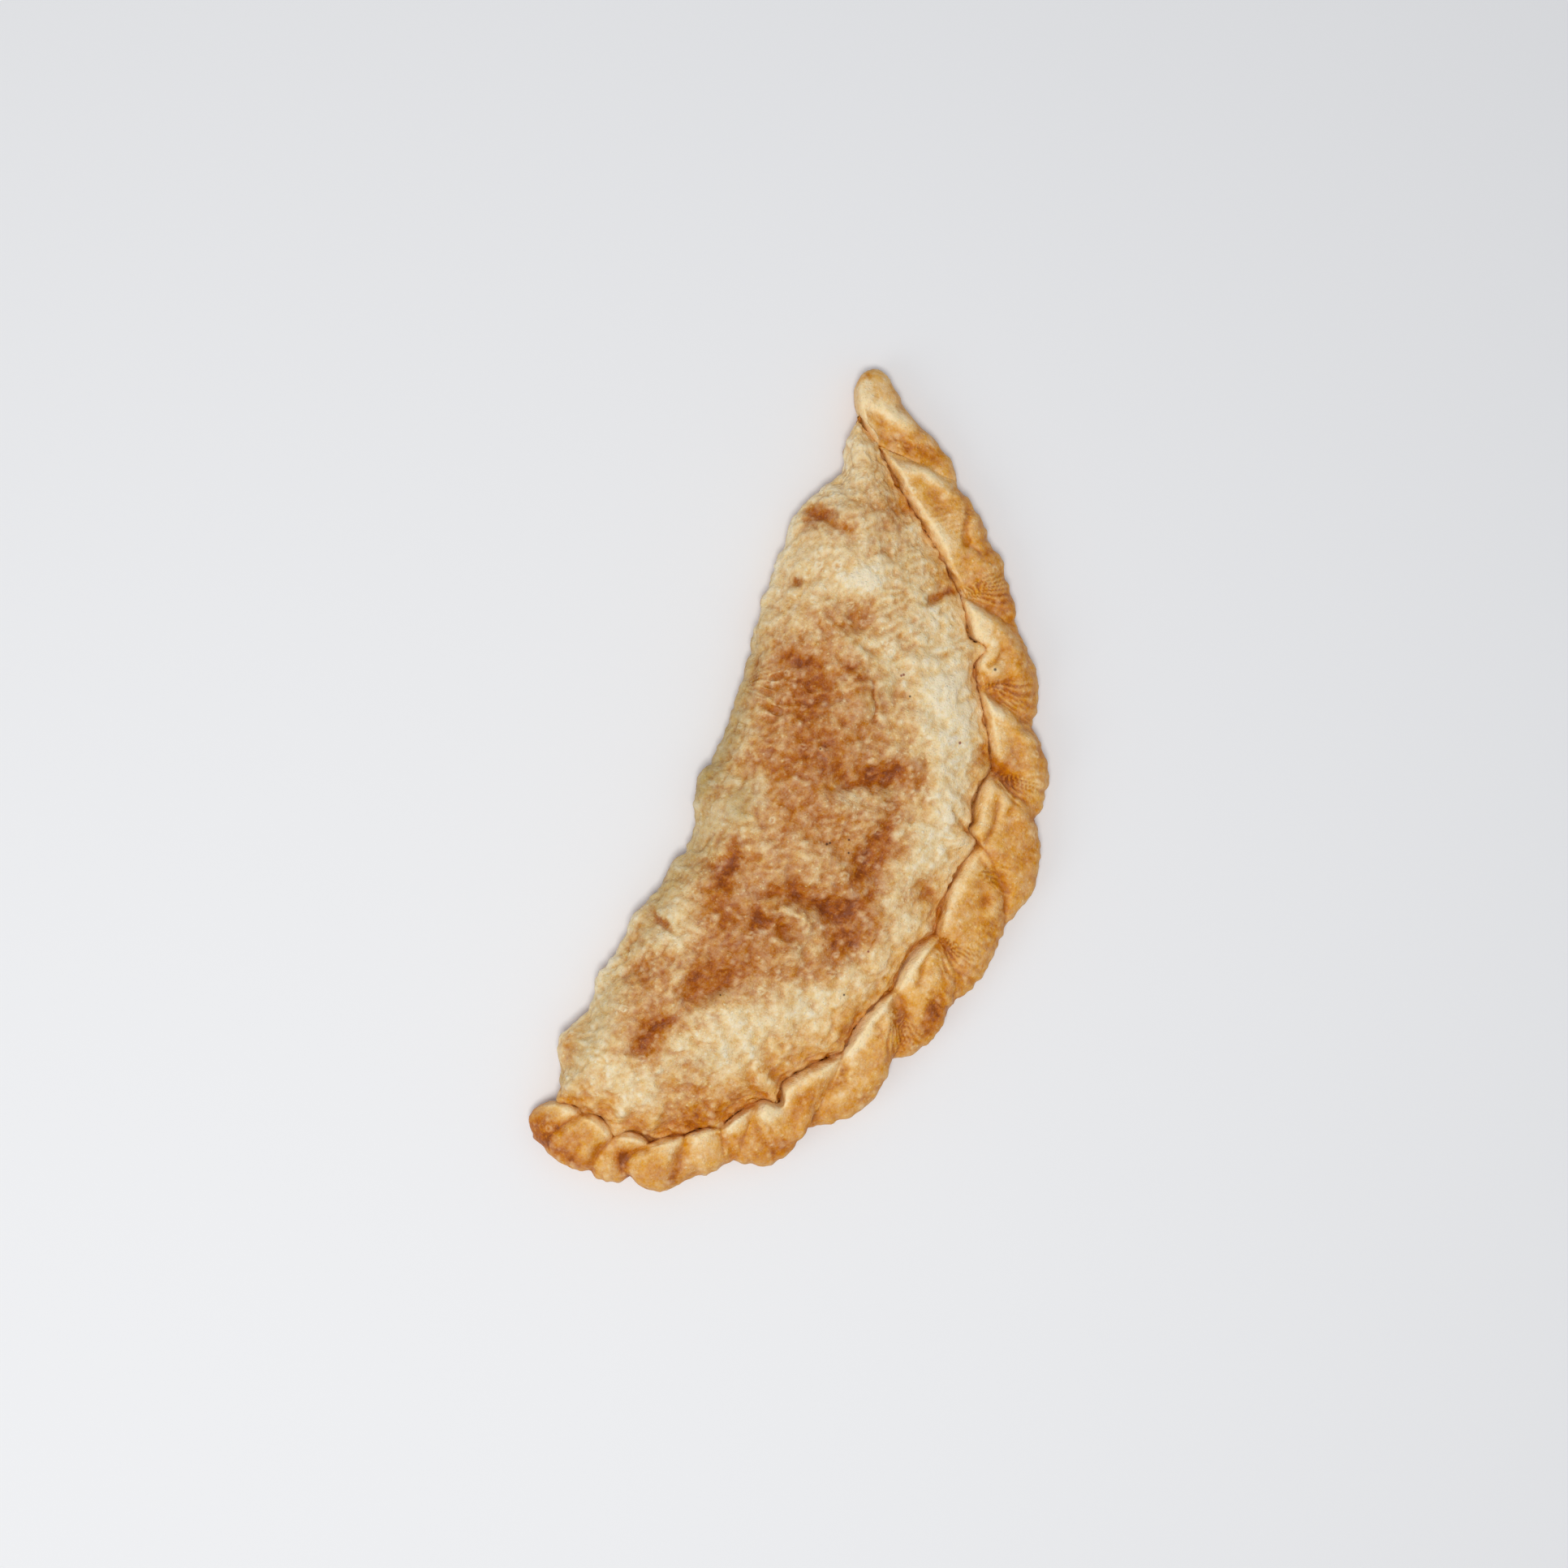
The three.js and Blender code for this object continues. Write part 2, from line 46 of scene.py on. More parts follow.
# The curved side. Along the seam each pleat runs from the tip towards the knob. climb and fall
# are how many millimetres it takes to rise out of its starting dip and to sink into the next,
# lag is how far the dip slants on its way outwards and bow how far it bends.
rope = {
    "route": [
        (93.2, 39.2), (84.6, 32.4), (76.5, 19.5), (68.5, 6.5), (56.5, -6.3), (41, -17.5), (24, -26.3),
        (4, -31.3), (-16, -31), (-36, -26), (-54, -18), (-68.5, -8.5), (-79.5, 3), (-86.5, 15.5),
        (-88.2, 27), (-85.6, 39.3),
    ],
    "columns": ("length", "lag", "bow", "seam", "seamSwell", "outer", "outerSwell", "rise", "climb",
                "fall"),
    "pleats": [
        (15.2, 0, 0, 6.3, 0.4, 4.8, 2.2, 0.86, 1, 9),
        (39.3, 16.8, 0, 4.9, 1.3, 4.9, 1.3, 0.95, 3, 7),
        (21, 10.8, 0.4, 6.2, 0.2, 4.5, 2.4, 0.97, 3, 5),
        (20, 11, 0.6, 6.9, 0, 4.8, 2.4, 1, 3, 4),
        (17.5, 10, 0.4, 5.2, 2.8, 6.6, 3, 0.98, 4.5, 3.5),
        (24, 15.4, -1.6, 5.8, 2.4, 6.7, 1.8, 1, 4, 3.5),
        (16.5, 11, -2.4, 6.7, 1.9, 5.8, 2.6, 1.03, 4, 3.5),
        (18.5, 11.7, -3, 6.8, 1.6, 4.6, 4, 1, 4.5, 4),
        (23.6, 16.6, -0.8, 4.6, 1.9, 4.2, 3.7, 1, 4.5, 3),
        (9.4, 9, 0.4, 6.2, 0.7, 4.2, 0, 0.93, 3, 2.8),
        (8.5, 1.2, 0.4, 4.4, 0.7, 4.5, 0.4, 0.92, 2.4, 2.4),
        (8, 2.2, 0.9, 4.9, 0.5, 5.6, 2.3, 0.98, 2.2, 2.4),
        (9.5, 4.5, 3.4, 4.4, 1.8, 4.2, 1.5, 0.94, 2, 2),
        (10.5, 2.5, 1.2, 5, 1.8, 4.4, 0.7, 1.05, 2.6, 2.4),
        (9, 3, 1, 6.9, 0.4, 4.8, 0.3, 1, 2.4, 2),
    ],
    "tucks": [  # where along the seam, on which side, how deep, how far to both sides
        (46.3, "outer", 1.3, 2.2), (67.9, "seam", 2.8, 2.0), (110.8, "seam", -1.5, 1.7),
        (190.4, "seam", 3.2, 2.0),
    ],
    "tuckDip": 0.35, "firstPeak": 0.8,
    "height": 11.2, "waist": 4.6, "floor": 0.7, "roughRim": 0.7, "roughSize": 1.7,
    # Form of a pleat: how high its dips lie at the seam and at the rim and where across that
    # changes, the powers of its rise and fall, where it takes over the height of the next, how wide
    # its two round edges are, how much lower the rim lies and how far a dip may go below the waist.
    # Long pleats have a slight hollow along the middle.
    "dip": 0.8, "rimDip": 0.93, "dipAcross": (0.15, 0.8), "climbRound": 1.3, "fallRound": 1.4,
    "handOver": 0.8, "seamEdge": 0.13, "rimEdge": 0.46, "rimLower": 0.22, "belowWaist": 0.5,
    "hollow": 0.25, "hollowAt": 0.46, "hollowReach": 0.13, "hollowPleat": 20,
    "tipRound": 12, "knobRound": 9, "leastFill": 0.06, "reliefEdges": (0.22, 0.3), "ballEdge": 0.3,
    "step": 0.5, "leastSteps": 12, "topCorners": 42, "soleCorners": 12, "evenCorners": 0.35,
    # Where one pleat tucks under the next: a line from the seam outwards, depth at the seam and
    # at the rim, how far the dip reaches before the line and after it, and the crest beyond.
    "folds": [
        ([(78.9, 31.2), (77.2, 28.2), (76.7, 25.8), (77.5, 22.6), (78.8, 19), (77.8, 15.8), (77.3, 12.2)],
         (1.9, 1.2), (4, 4.4), (0.9, 0.9), 0.5),
        ([(55.4, 1.6), (55.9, -1.8), (55.8, -5.8), (54.6, -10), (53.2, -13.7), (51.5, -17)],
         (2.3, 1.5), (2.4, 5), (0.8, 1), 0.4),
        ([(38.8, -11.4), (38.4, -14), (37.8, -18), (36.7, -21.5), (35.3, -24.5)],
         (2.4, 1), (1.8, 4), (0.8, 1), 0.4),
        ([(23.5, -20.4), (23.1, -22.5), (22.5, -26), (21.4, -30), (20.4, -34)],
         (2.3, 1.1), (2.2, 3.4), (1.4, 1.8), 0.3),
        ([(8.3, -24.8), (5.8, -26.8), (4, -29), (3.4, -31.6), (1.4, -34.6), (-1.8, -36.6), (-6, -38.4)],
         (1.4, 1.2), (0.9, 1), (2.4, 3), 0),
        ([(-14.6, -24.6), (-15.4, -27), (-17.4, -30), (-20.5, -33.5), (-25, -36.5)],
         (2.1, 0.6), (1.2, 2.8), (2.4, 4), 0.2),
        ([(-31.2, -22.8), (-33, -25), (-36.5, -26.6), (-40.8, -27), (-44.6, -28)],
         (2, 1.5), (2.6, 3.4), (0.9, 1.4), 0.2),
        ([(-46.8, -17.4), (-49, -18.7), (-51.6, -18.8), (-54.5, -17.6), (-58.3, -17), (-61.7, -17.6),
          (-65, -18.6)], (1.2, 0.9), (2.2, 1.6), (0.9, 1.3), 0.1),
        ([(-65.3, -4.2), (-68, -6), (-70.2, -9), (-70.8, -12.5), (-69.8, -16.2)],
         (1, 0.4), (1.3, 2.2), (1.5, 2.4), 0),
        ([(-73.2, 1), (-73.8, -1.5), (-75.2, -3.6), (-78.4, -5.2)], (1.5, 1.2), (1.6, 2), (1.4, 2), 0),
        ([(-76.8, 6.2), (-79.5, 6.4), (-83.2, 6), (-87, 4.8)], (1, 0.8), (1.6, 2), (1.2, 1.6), 0),
        ([(-82.2, 13.8), (-84.4, 16.4), (-86.6, 17.2), (-88.8, 16.6), (-91.2, 14.8)],
         (1.7, 1.1), (0.9, 1.2), (2.4, 1.6), 0),
        ([(-81.7, 20.3), (-84.2, 21.6), (-86.8, 22.6), (-90.6, 23.2)],
         (1.6, 0.9), (1.2, 1.5), (1, 1.3), 0.1),
        ([(-80.8, 30), (-83.2, 31.2), (-86, 33), (-88.6, 34.8)], (1.1, 0.3), (1, 1), (1.3, 1.3), 0),
    ],
    # Creases and ridges: points, width, rise. Each one fades out at its last point.
    "lines": [
        ([(86, 37.5), (84.8, 34), (84.7, 31), (85.7, 28.2), (86.8, 26)], 1.9, 0.6),
        ([(83.6, 35.5), (82.4, 33), (81.6, 30.4)], 1.1, -0.6),
        ([(67.6, 4.6), (68.6, 5.6), (70.8, 6.2), (73.8, 7.4), (75.8, 8.8)], 0.6, -0.9),
        ([(67.4, 4.4), (66.5, 2), (65.2, -1)], 0.8, -0.8),
        ([(44.2, -11.2), (46, -12.2), (48.5, -12.2), (51.2, -10.6)], 0.6, -0.7),
        ([(41.8, -10.4), (40.6, -12.6), (41.3, -14.8), (42.9, -16.8), (45.6, -19)], 0.8, -0.7),
        ([(9, -26.3), (13, -26.9), (16.5, -26.3), (19.8, -24)], 0.6, -0.9),
        ([(21, -28), (18, -29), (15.4, -27.8)], 0.6, -0.5),
        ([(7.8, -25.4), (3, -25.5), (-2, -25.7), (-7, -26.4)], 0.4, -0.4),
        ([(-15.2, -26.7), (-18.7, -25.2), (-21.5, -25), (-24.5, -25.4), (-29, -24.8)], 0.5, -0.9),
        ([(-34.6, -33.4), (-33.6, -31), (-31.5, -29.7), (-28.8, -30.1), (-25.6, -32)], 0.9, -0.5),
        ([(-31.8, -23.6), (-34.5, -22.2), (-37, -21.6), (-40, -22.2)], 0.5, -0.6),
        ([(-37.4, -21.9), (-38.2, -23), (-39.8, -22.8), (-40.2, -21.6)], 0.4, -0.3),
        ([(-80.8, 14.2), (-81.2, 17), (-82.6, 19.6), (-85.4, 20.8)], 1, 0.5),
    ],
    "lumps": [  # x, y, reach along, reach across, turn in degrees, rise
        (80.8, 24, 5.6, 1.9, 84, -0.7), (89.6, 36.6, 3, 2.4, 40, 0.3), (73, 16, 4, 2.4, 60, -0.5),
        (65.4, 10.2, 3.4, 2, 56, 0.6), (61.4, 3.8, 3.6, 2, 50, -0.5), (73.5, 5.2, 3.6, 1, 24, 0.5),
        (52, -5, 6.4, 1.8, 62, 0.5), (43.8, -12.6, 2.2, 1.4, 0, 0.7), (47, -16.6, 4.4, 2.4, 35, 0.5),
        (36.8, -14.8, 3.6, 1.1, 62, 0.4), (26.6, -22, 2.4, 2.6, 70, 0.7),
        (31.4, -24, 3.6, 2.4, 60, 0.3), (14.4, -23.8, 5.6, 1.7, 8, 0.7), (18.4, -27, 2.4, 1.1, 25, 0.6),
        (7.6, -30.2, 2.8, 3.6, 10, 0.7), (-0.4, -30.6, 2.6, 2, 70, -0.5),
        (-3.2, -32, 1.7, 1.5, 0, -0.5), (-4.8, -34.8, 1.7, 1.5, -30, 0.5),
        (-11, -29, 4.6, 3.2, -20, 0.4), (-22, -22.6, 6.5, 1.3, -6, 0.5),
        (-25, -27.8, 3.8, 1.6, -12, 0.5), (-30, -32, 4.4, 1.9, 8, -0.8),
        (-38, -18.8, 6.4, 1.6, -6, 0.6), (-46.4, -23.5, 2.6, 1.4, -40, -0.5),
        (-50, -24.4, 5, 2.4, -24, 0.4), (-56, -11.8, 6.6, 1.6, -24, 0.5),
        (-64.6, -6.4, 2.3, 2, -40, 1.6), (-76, -8.5, 3.4, 4, 0, 0.3), (-70, -1.8, 3.4, 1.6, -20, 0.5),
        (-86, 9.6, 3.4, 2.6, -50, 0.3), (-89.6, 19, 1.8, 2.6, 0, 0.4),
    ],
    # Wrinkles that fan out from a tuck: place, direction and spread in degrees, reach, count, height.
    "fans": [
        (55.6, 2, -60, 56, 18, 8, 0.38), (39.8, -10.4, -84, 50, 16, 7, 0.44),
        (23.4, -19.4, -98, 42, 16, 7, 0.5), (2.2, -26.4, -84, 60, 11, 6, 0.28),
        (-14.4, -23.8, -112, 66, 14, 9, 0.42), (-31.4, -22.4, -140, 64, 16, 9, 0.46),
        (-47.6, -17.6, -140, 50, 8, 4, 0.2), (79.4, 31.4, -76, 26, 15, 5, 0.22),
        (-65.4, -4.2, -112, 50, 9, 4, 0.16), (-26, -26, -100, 60, 12, 7, 0.16),
    ],
    # Fine ripples: x, y, reach along, reach across, turn, wavelength, height.
    "ripples": [
        (69.6, 9.2, 3.6, 4.2, 40, 1.3, 0.16), (88, 35, 6, 4, 60, 1.7, 0.14),
        (46, -20, 6, 3, 30, 1.3, 0.14), (32, -28, 6, 3, 30, 1.3, 0.12), (4, -36, 8, 3, 0, 1.3, 0.16),
        (-12, -36, 8, 3, -10, 1.4, 0.14),
    ],
}

# The filled half-moon between the folded side and the seam.
body = {
    "fold": [
        (-83.5, 34), (-74, 37.8), (-50, 37.6), (-33, 35.4), (-21, 32.8), (-8, 35.4), (10, 35.9),
        (28, 38.6), (50, 41), (61.5, 39.8), (68.5, 36.4), (76, 37.7), (83.5, 37.6),
    ],
    "height": 18.5, "endDrop": 0.24, "foldDrop": 0.3, "foldPower": 2.2, "seamDrop": 0.4, "seamSlope": 2.4,
    "waist": 6.2, "undercut": 2.8, "reliefShare": 1.25,
    # Height of the edge at the rope and how far it dips under it, each at two places along x.
    "seamLevels": (7.8, 8.4), "levelsAt": (-70, 60), "tuckedUnder": (1.0, 3.2), "tuckedAt": (-78, -50),
    "tuckedReach": (-0.8, 0.6), "underRope": 1.5, "leastWide": 0.3, "endGap": 8, "crowding": 0.55,
    "foldReach": 13, "seamReach": 6, "seamPower": 2.0, "soleRound": 7, "soleEdge": 1,
    "foldSpan": (0.01, 0.99),
    "ribs": 420, "topSteps": 150, "soleSteps": 10,
    "lumps": [
        (66, 22, 6, 4, 40, -0.9), (51, 22, 6, 7, 0, 0.9), (41, 20, 6, 4, 60, -0.9),
        (60, 28, 5, 3, -20, 0.6), (58.3, 35.6, 1.9, 4, -12, -2.3), (56, 37.6, 3.4, 1.4, 30, -0.8),
        (42.4, 35.4, 1.8, 1.3, 40, -0.9), (30, -4, 11, 8, 20, 0.9), (22, 20.5, 6.5, 3.2, 20, -1.3),
        (27.5, 25.5, 2.4, 4.4, 0, -0.8), (24.5, 11.6, 6, 4.4, 20, 0.9), (3, 21, 3.4, 4.4, 0, -0.6),
        (0, 13, 9, 5, 0, 0.4), (-10.5, 6, 5.4, 8, 0, 1), (-7, -5.4, 9.5, 2.8, -2, -1.3),
        (-20, 22, 6.4, 3, 14, -0.9), (-27.2, 10.8, 4, 2.8, 30, -1.3), (-27.2, 4.6, 1.9, 2.6, 0, -1),
        (-31, 17, 5, 4, 30, -0.5), (-14, 15, 5, 3.5, 30, 0.5), (-46, 22.5, 6, 2.2, -20, 0.5),
        (-59.5, 23.6, 5.6, 2.4, -14, -1.2), (-54.6, 19.6, 3.4, 1.4, -35, -0.7),
        (-69, 24, 7, 6, -30, 0.7), (-66.5, 12.5, 2.2, 4.6, 0, -0.7), (-35.2, 31, 0.9, 2, -20, -1.1),
        (-52, 4, 11, 6, -38, 0.5), (-25, -9, 5, 3, 0, -0.6), (25.5, -17.6, 3.6, 1.8, 16, -1.2),
        (45.6, -7.4, 2.4, 1.8, -50, -0.9), (-6, -19, 4, 2.2, -10, -0.8), (39, -9.4, 2.8, 1.2, 0, -0.6),
        (9, -19, 2.6, 3.2, 30, -0.5), (-75, 1.4, 2, 1.2, -40, -0.4), (-6, 25.5, 7, 4, 0, 0.4),
        (10, 30, 7, 3, 0, 0.3), (-49, 31.6, 1.6, 4, 15, -0.4), (15, -13, 8, 4, 12, 0.5),
    ],
    "lines": [
        ([(-22.8, 10.2), (-21.9, 6.4), (-22.5, 3), (-24.8, 0.2), (-27.6, -1.6)], 2.4, 1.4),
        ([(-31.8, 2.6), (-30.2, 0.8), (-28.4, -1)], 1.4, 0.7),
        ([(-19.4, 10.4), (-18.2, 6.4), (-17.8, 2.4), (-19.2, -2), (-21, -6), (-22.8, -10)], 2.6, -1.8),
        ([(-48.4, 18), (-44.8, 15.2), (-41, 12.8), (-36, 11)], 2.2, -1.3),
        ([(9.4, 5.8), (11.2, 1.8), (12.8, -2.2), (12.4, -6)], 2.4, -2),
        ([(21.6, 21.4), (24.6, 18), (30.4, 14), (31.4, 9.6)], 1.2, 0.5),
        ([(22.4, 5.9), (25.2, 7), (27.3, 9), (29.8, 10.2), (31.6, 12)], 0.6, -1.1),
        ([(24, 4.8), (27, 6.6), (30.4, 8.4)], 1.3, -0.5),
        ([(56, 0.6), (55.2, 2.2), (53.5, 4.6), (51.8, 6.6), (49.2, 8.2)], 0.9, -1.3),
        ([(46, -4.6), (43.5, -2.2), (41.4, -0.8), (38.6, 0.4)], 0.7, -0.6),
        ([(10.6, -19.4), (12, -17), (14.4, -14.8)], 0.7, -0.4),
        ([(68.6, 36.6), (65.5, 35), (62, 33.4)], 0.8, -0.6),
        ([(78.6, 31), (74, 28), (70.6, 26.2), (66, 27)], 1, -0.5),
        ([(-46.6, 34.6), (-47.4, 31), (-49, 27)], 0.8, -0.4),
        ([(8.4, -23.6), (8, -21), (9.4, -18.4)], 0.9, -0.6),
        ([(36, 14.6), (38.4, 11.6), (41, 9.6)], 0.7, -0.4),
        ([(-21, 32.4), (-21.2, 29.4), (-20, 26.4)], 0.8, -0.5),
    ],
    "fans": [
        (16.5, 38, -62, 70, 13, 8, 0.34), (-24.5, 36, -90, 100, 9, 13, 0.16),
        (8.2, -24.2, 110, 90, 10, 9, 0.2), (30, -19, 130, 80, 9, 6, 0.14),
        (-21, -2, -84, 46, 13, 7, 0.14), (62, 41, -60, 60, 12, 7, 0.2),
    ],
    "ripples": [
        (16, 29, 9, 4, 14, 2.5, 0.3), (76, 33, 9, 5, -35, 1.7, 0.28), (-4, 1, 8, 5, 40, 1.5, 0.1),
        (44, 10, 8, 6, 50, 1.8, 0.14), (-12, 30, 10, 4, 8, 1.9, 0.14), (-62, 33, 14, 3, 0, 2.4, 0.12),
        (30, 36, 12, 3, 10, 1.3, 0.14), (-30, 33, 9, 3, 0, 1.2, 0.18), (60, 12, 6, 6, 50, 1.6, 0.12),
    ],
    # Bubbles that stand out of the folded side: place, reach along and upwards, how far they stand out.
    "bubbles": [
        (-69, 37.8, 8, 4.4, 3.4, 2.4), (-53.9, 37.6, 7, 3, 2.4, 1.3), (-38, 36, 7.5, 3.2, 2.8, 1.7),
        (-23.5, 33, 7.5, 2.4, 2.2, 1), (-5.6, 35.4, 8, 4.2, 3, 1.4), (54, 40.6, 7, 3, 2.6, 0.6),
        (36, 39.6, 7, 2.6, 2.4, 0.5), (23, 37.8, 7, 1.2, 1.2, 0.5), (-44, 37.2, 7, 1.2, 1.2, 0.5),
    ],
}

# Marks are listed where a view from just beside overhead shows them: a place this much higher
# than the level is seen this share of its height further along x and y.
seen = {"x": 0.036, "y": -0.080, "level": 5.0}

# How marks are drawn: lines fade near their last point, folds have a crest beyond their dip, fans
# sway, are uneven and thin out, ripples bend and swell.
strokes = {
    "lineFade": 0.55, "lineEdge": 1.6,
    "foldSearch": 12, "foldEdge": 1.35, "crestAway": 1.4, "crestReach": 1.1,
    "fanSway": 0.16, "fanSwayTurn": 0.9, "fanUneven": 0.4, "fanBeats": 7, "fanSides": 0.15,
    "fanStart": (0.4, 3.0), "fanFade": 0.4, "rippleBendSize": 5.0, "rippleBend": 0.9,
    "rippleSwingSize": 4.0, "rippleSwing": 1.5, "rippleLeast": 0.75,
}

# Nothing in hand-rolled dough is straight: places wander by these many millimetres at these sizes.
wander = {"sizes": (7.5, 2.8), "reaches": (2.1, 0.6), "ropeShare": 0.35}


def smoothBetween(x, low, high):
    t = np.clip((x - low) / (high - low), 0, 1)
    return t * t * (3 - 2 * t)


def roundedRise(d, reach, power=2.0):
    return (1 - (1 - np.clip(d / reach, 0, 1)) ** power) ** (1 / power)


def mix(a, b, t):
    return a + (b - a) * t


def noiseAt(points, size, seed):
    shift = Vector((seed * 17.3, seed * -9.1, seed * 5.7))
    flat = points.reshape(-1, points.shape[-1]) / size
    if flat.shape[1] == 2:
        flat = np.hstack([flat, np.zeros((len(flat), 1))])
    return np.array([noise.noise(Vector(p) + shift) for p in flat]).reshape(points.shape[:-1])


def wandered(x, y, share=1.0):
    at = np.stack([x, y], -1)
    for seed, (size, reach) in enumerate(zip(wander["sizes"], wander["reaches"])):
        x = x + share * reach * noiseAt(at, size, 31 + seed)
        y = y + share * reach * noiseAt(at, size, 41 + seed)
    return x, y


def asSeen(x, y, z):
    return x + seen["x"] * (z - seen["level"]), y + seen["y"] * (z - seen["level"])


def curveThrough(corners, marks):
    # evenly spaced places along a smooth curve, each with the direction to its left
    p = np.array(corners, float)
    p = np.vstack([2 * p[0] - p[1], p, 2 * p[-1] - p[-2]])
    t = np.linspace(0, 1, 80, endpoint=False)[:, None]
    spans = []
    for a, b, c, d in zip(p, p[1:], p[2:], p[3:]):
        spans.append(0.5 * (2 * b + (c - a) * t + (2 * a - 5 * b + 4 * c - d) * t ** 2
                            + (3 * b - 3 * c + d - a) * t ** 3))
    dense = np.vstack(spans + [p[-2:-1]])
    run = np.concatenate([[0], np.cumsum(np.hypot(*np.diff(dense, axis=0).T))])
    s = np.linspace(0, run[-1], marks + 1)
    at = np.stack([np.interp(s, run, dense[:, 0]), np.interp(s, run, dense[:, 1])], 1)
    ahead = np.gradient(at, axis=0)
    ahead /= np.linalg.norm(ahead, axis=1)[:, None]
    return {"at": at, "left": np.stack([-ahead[:, 1], ahead[:, 0]], 1), "s": s, "length": run[-1]}


def onCurve(curve, name, s):
    values = curve[name]
    return np.stack([np.interp(s, curve["s"], values[:, 0]), np.interp(s, curve["s"], values[:, 1])], -1)


def nearestOn(curve, x, y):
    # distance to a curve, plus on its left, and how far along it the nearest place lies
    distance = np.empty(x.size)
    along = np.empty(x.size)
    places = np.stack([x.ravel(), y.ravel()], 1)
    for start in range(0, len(places), 6000):
        part = places[start:start + 6000]
        apart = ((part[:, None, :] - curve["at"][None]) ** 2).sum(2)
        best = apart.argmin(1)
        offset = part - curve["at"][best]
        left = curve["left"][best]
        toLeft = (offset * left).sum(1)
        forward = (offset * np.stack([left[:, 1], -left[:, 0]], 1)).sum(1)
        inside = (best > 0) & (best < len(curve["at"]) - 1)
        apart = np.sqrt(apart[np.arange(len(part)), best])
        distance[start:start + 6000] = np.where(inside, toLeft, np.copysign(apart, toLeft))
        along[start:start + 6000] = curve["s"][best] + np.where(inside, forward, 0)
    return distance.reshape(x.shape), along.reshape(x.shape)


ropeCurve = curveThrough(rope["route"], 1200)
foldCurve = curveThrough(body["fold"], 800)
pleat = {name: np.array(values, float) for name, values in zip(rope["columns"], zip(*rope["pleats"]))}
pleatStarts = np.concatenate([[0], np.cumsum(pleat["length"])])
seamScale = ropeCurve["length"] / pleatStarts[-1]
print("khuushuur: rope", round(ropeCurve["length"], 1), "mm long,", len(pleat["length"]), "pleats")


def between(name, k, u):
    values = pleat[name]
    return mix(values[k], values[np.minimum(k + 1, len(values) - 1)], u)


def atNextStart(name, k):
    # the same value at the start of the next pleat, and none after the last one
    values = pleat[name]
    return np.where(k + 1 < len(values), values[np.minimum(k + 1, len(values) - 1)], 0)


def swell(u, peak=0.5):
    return np.sin(np.pi * np.clip(u, 0, 1) ** (math.log(0.5) / math.log(peak)))


def tuckDepth(side, along):
    return sum(depth * np.exp(-((along - at) / reach) ** 2)
               for at, where, depth, reach in rope["tucks"] if where == side)


def seamOffset(k, u, along):
    return between("seam", k, u) + pleat["seamSwell"][k] * swell(u) - tuckDepth("seam", along)


def outerOffset(k, u, along):
    bulge = np.where(k == 0, swell(u, rope["firstPeak"]), swell(u))
    return between("outer", k, u) + pleat["outerSwell"][k] * bulge - tuckDepth("outer", along)


def endFill(s):
    full = roundedRise(s, rope["tipRound"]) * roundedRise(ropeCurve["length"] - s, rope["knobRound"])
    return np.maximum(rope["leastFill"], full)


def pleatAt(s):
    # which pleat the seam belongs to there, the share run of it, and the place along all pleats
    along = np.clip(s / seamScale, 0, pleatStarts[-1] - 1e-6)
    k = np.clip(np.searchsorted(pleatStarts, along, side="right") - 1, 0, len(pleat["length"]) - 1)
    return k, np.clip((along - pleatStarts[k]) / pleat["length"][k], 0, 1), along


def seamOffsetAt(s):
    return seamOffset(*pleatAt(s)) * endFill(s)


def lumpsAt(lumps, x, y, power=1.0):
    rise = np.zeros(x.shape)
    for atX, atY, reachAlong, reachAcross, turn, height in lumps:
        c, s = math.cos(math.radians(turn)), math.sin(math.radians(turn))
        a = ((x - atX) * c + (y - atY) * s) / reachAlong
        b = (-(x - atX) * s + (y - atY) * c) / reachAcross
        rise += height * np.exp(-(a * a + b * b) ** power)
    return rise


def besideLine(points, x, y, reach):
    # for the places near a line: which they are, distance (plus on the left), share along it
    curve = curveThrough(points, 60)
    low, high = curve["at"].min(0) - reach, curve["at"].max(0) + reach
    near = (x > low[0]) & (x < high[0]) & (y > low[1]) & (y < high[1])
    away, along = nearestOn(curve, x[near], y[near])
    return near, away, np.clip(along / curve["length"], 0, 1)


def linesAt(lines, x, y):
    rise = np.zeros(x.shape)
    for points, width, height in lines:
        near, away, share = besideLine(points, x, y, 3 * width)
        fade = 1 - smoothBetween(share, strokes["lineFade"], 1.0)
        rise[near] += height * fade * np.exp(-np.abs(away / width) ** strokes["lineEdge"])
    return rise


def foldsAt(folds, x, y):
    rise = np.zeros(x.shape)
    for points, depth, before, after, crest in folds:
        near, away, share = besideLine(points, x, y, strokes["foldSearch"])
        reach = np.where(away > 0, mix(*before, share), mix(*after, share))
        dip = np.exp(-np.abs(away / reach) ** strokes["foldEdge"])
        ridge = np.exp(-((away + strokes["crestAway"] + mix(*after, share)) / strokes["crestReach"]) ** 2)
        rise[near] += crest * ridge - mix(*depth, share) * dip
    return rise


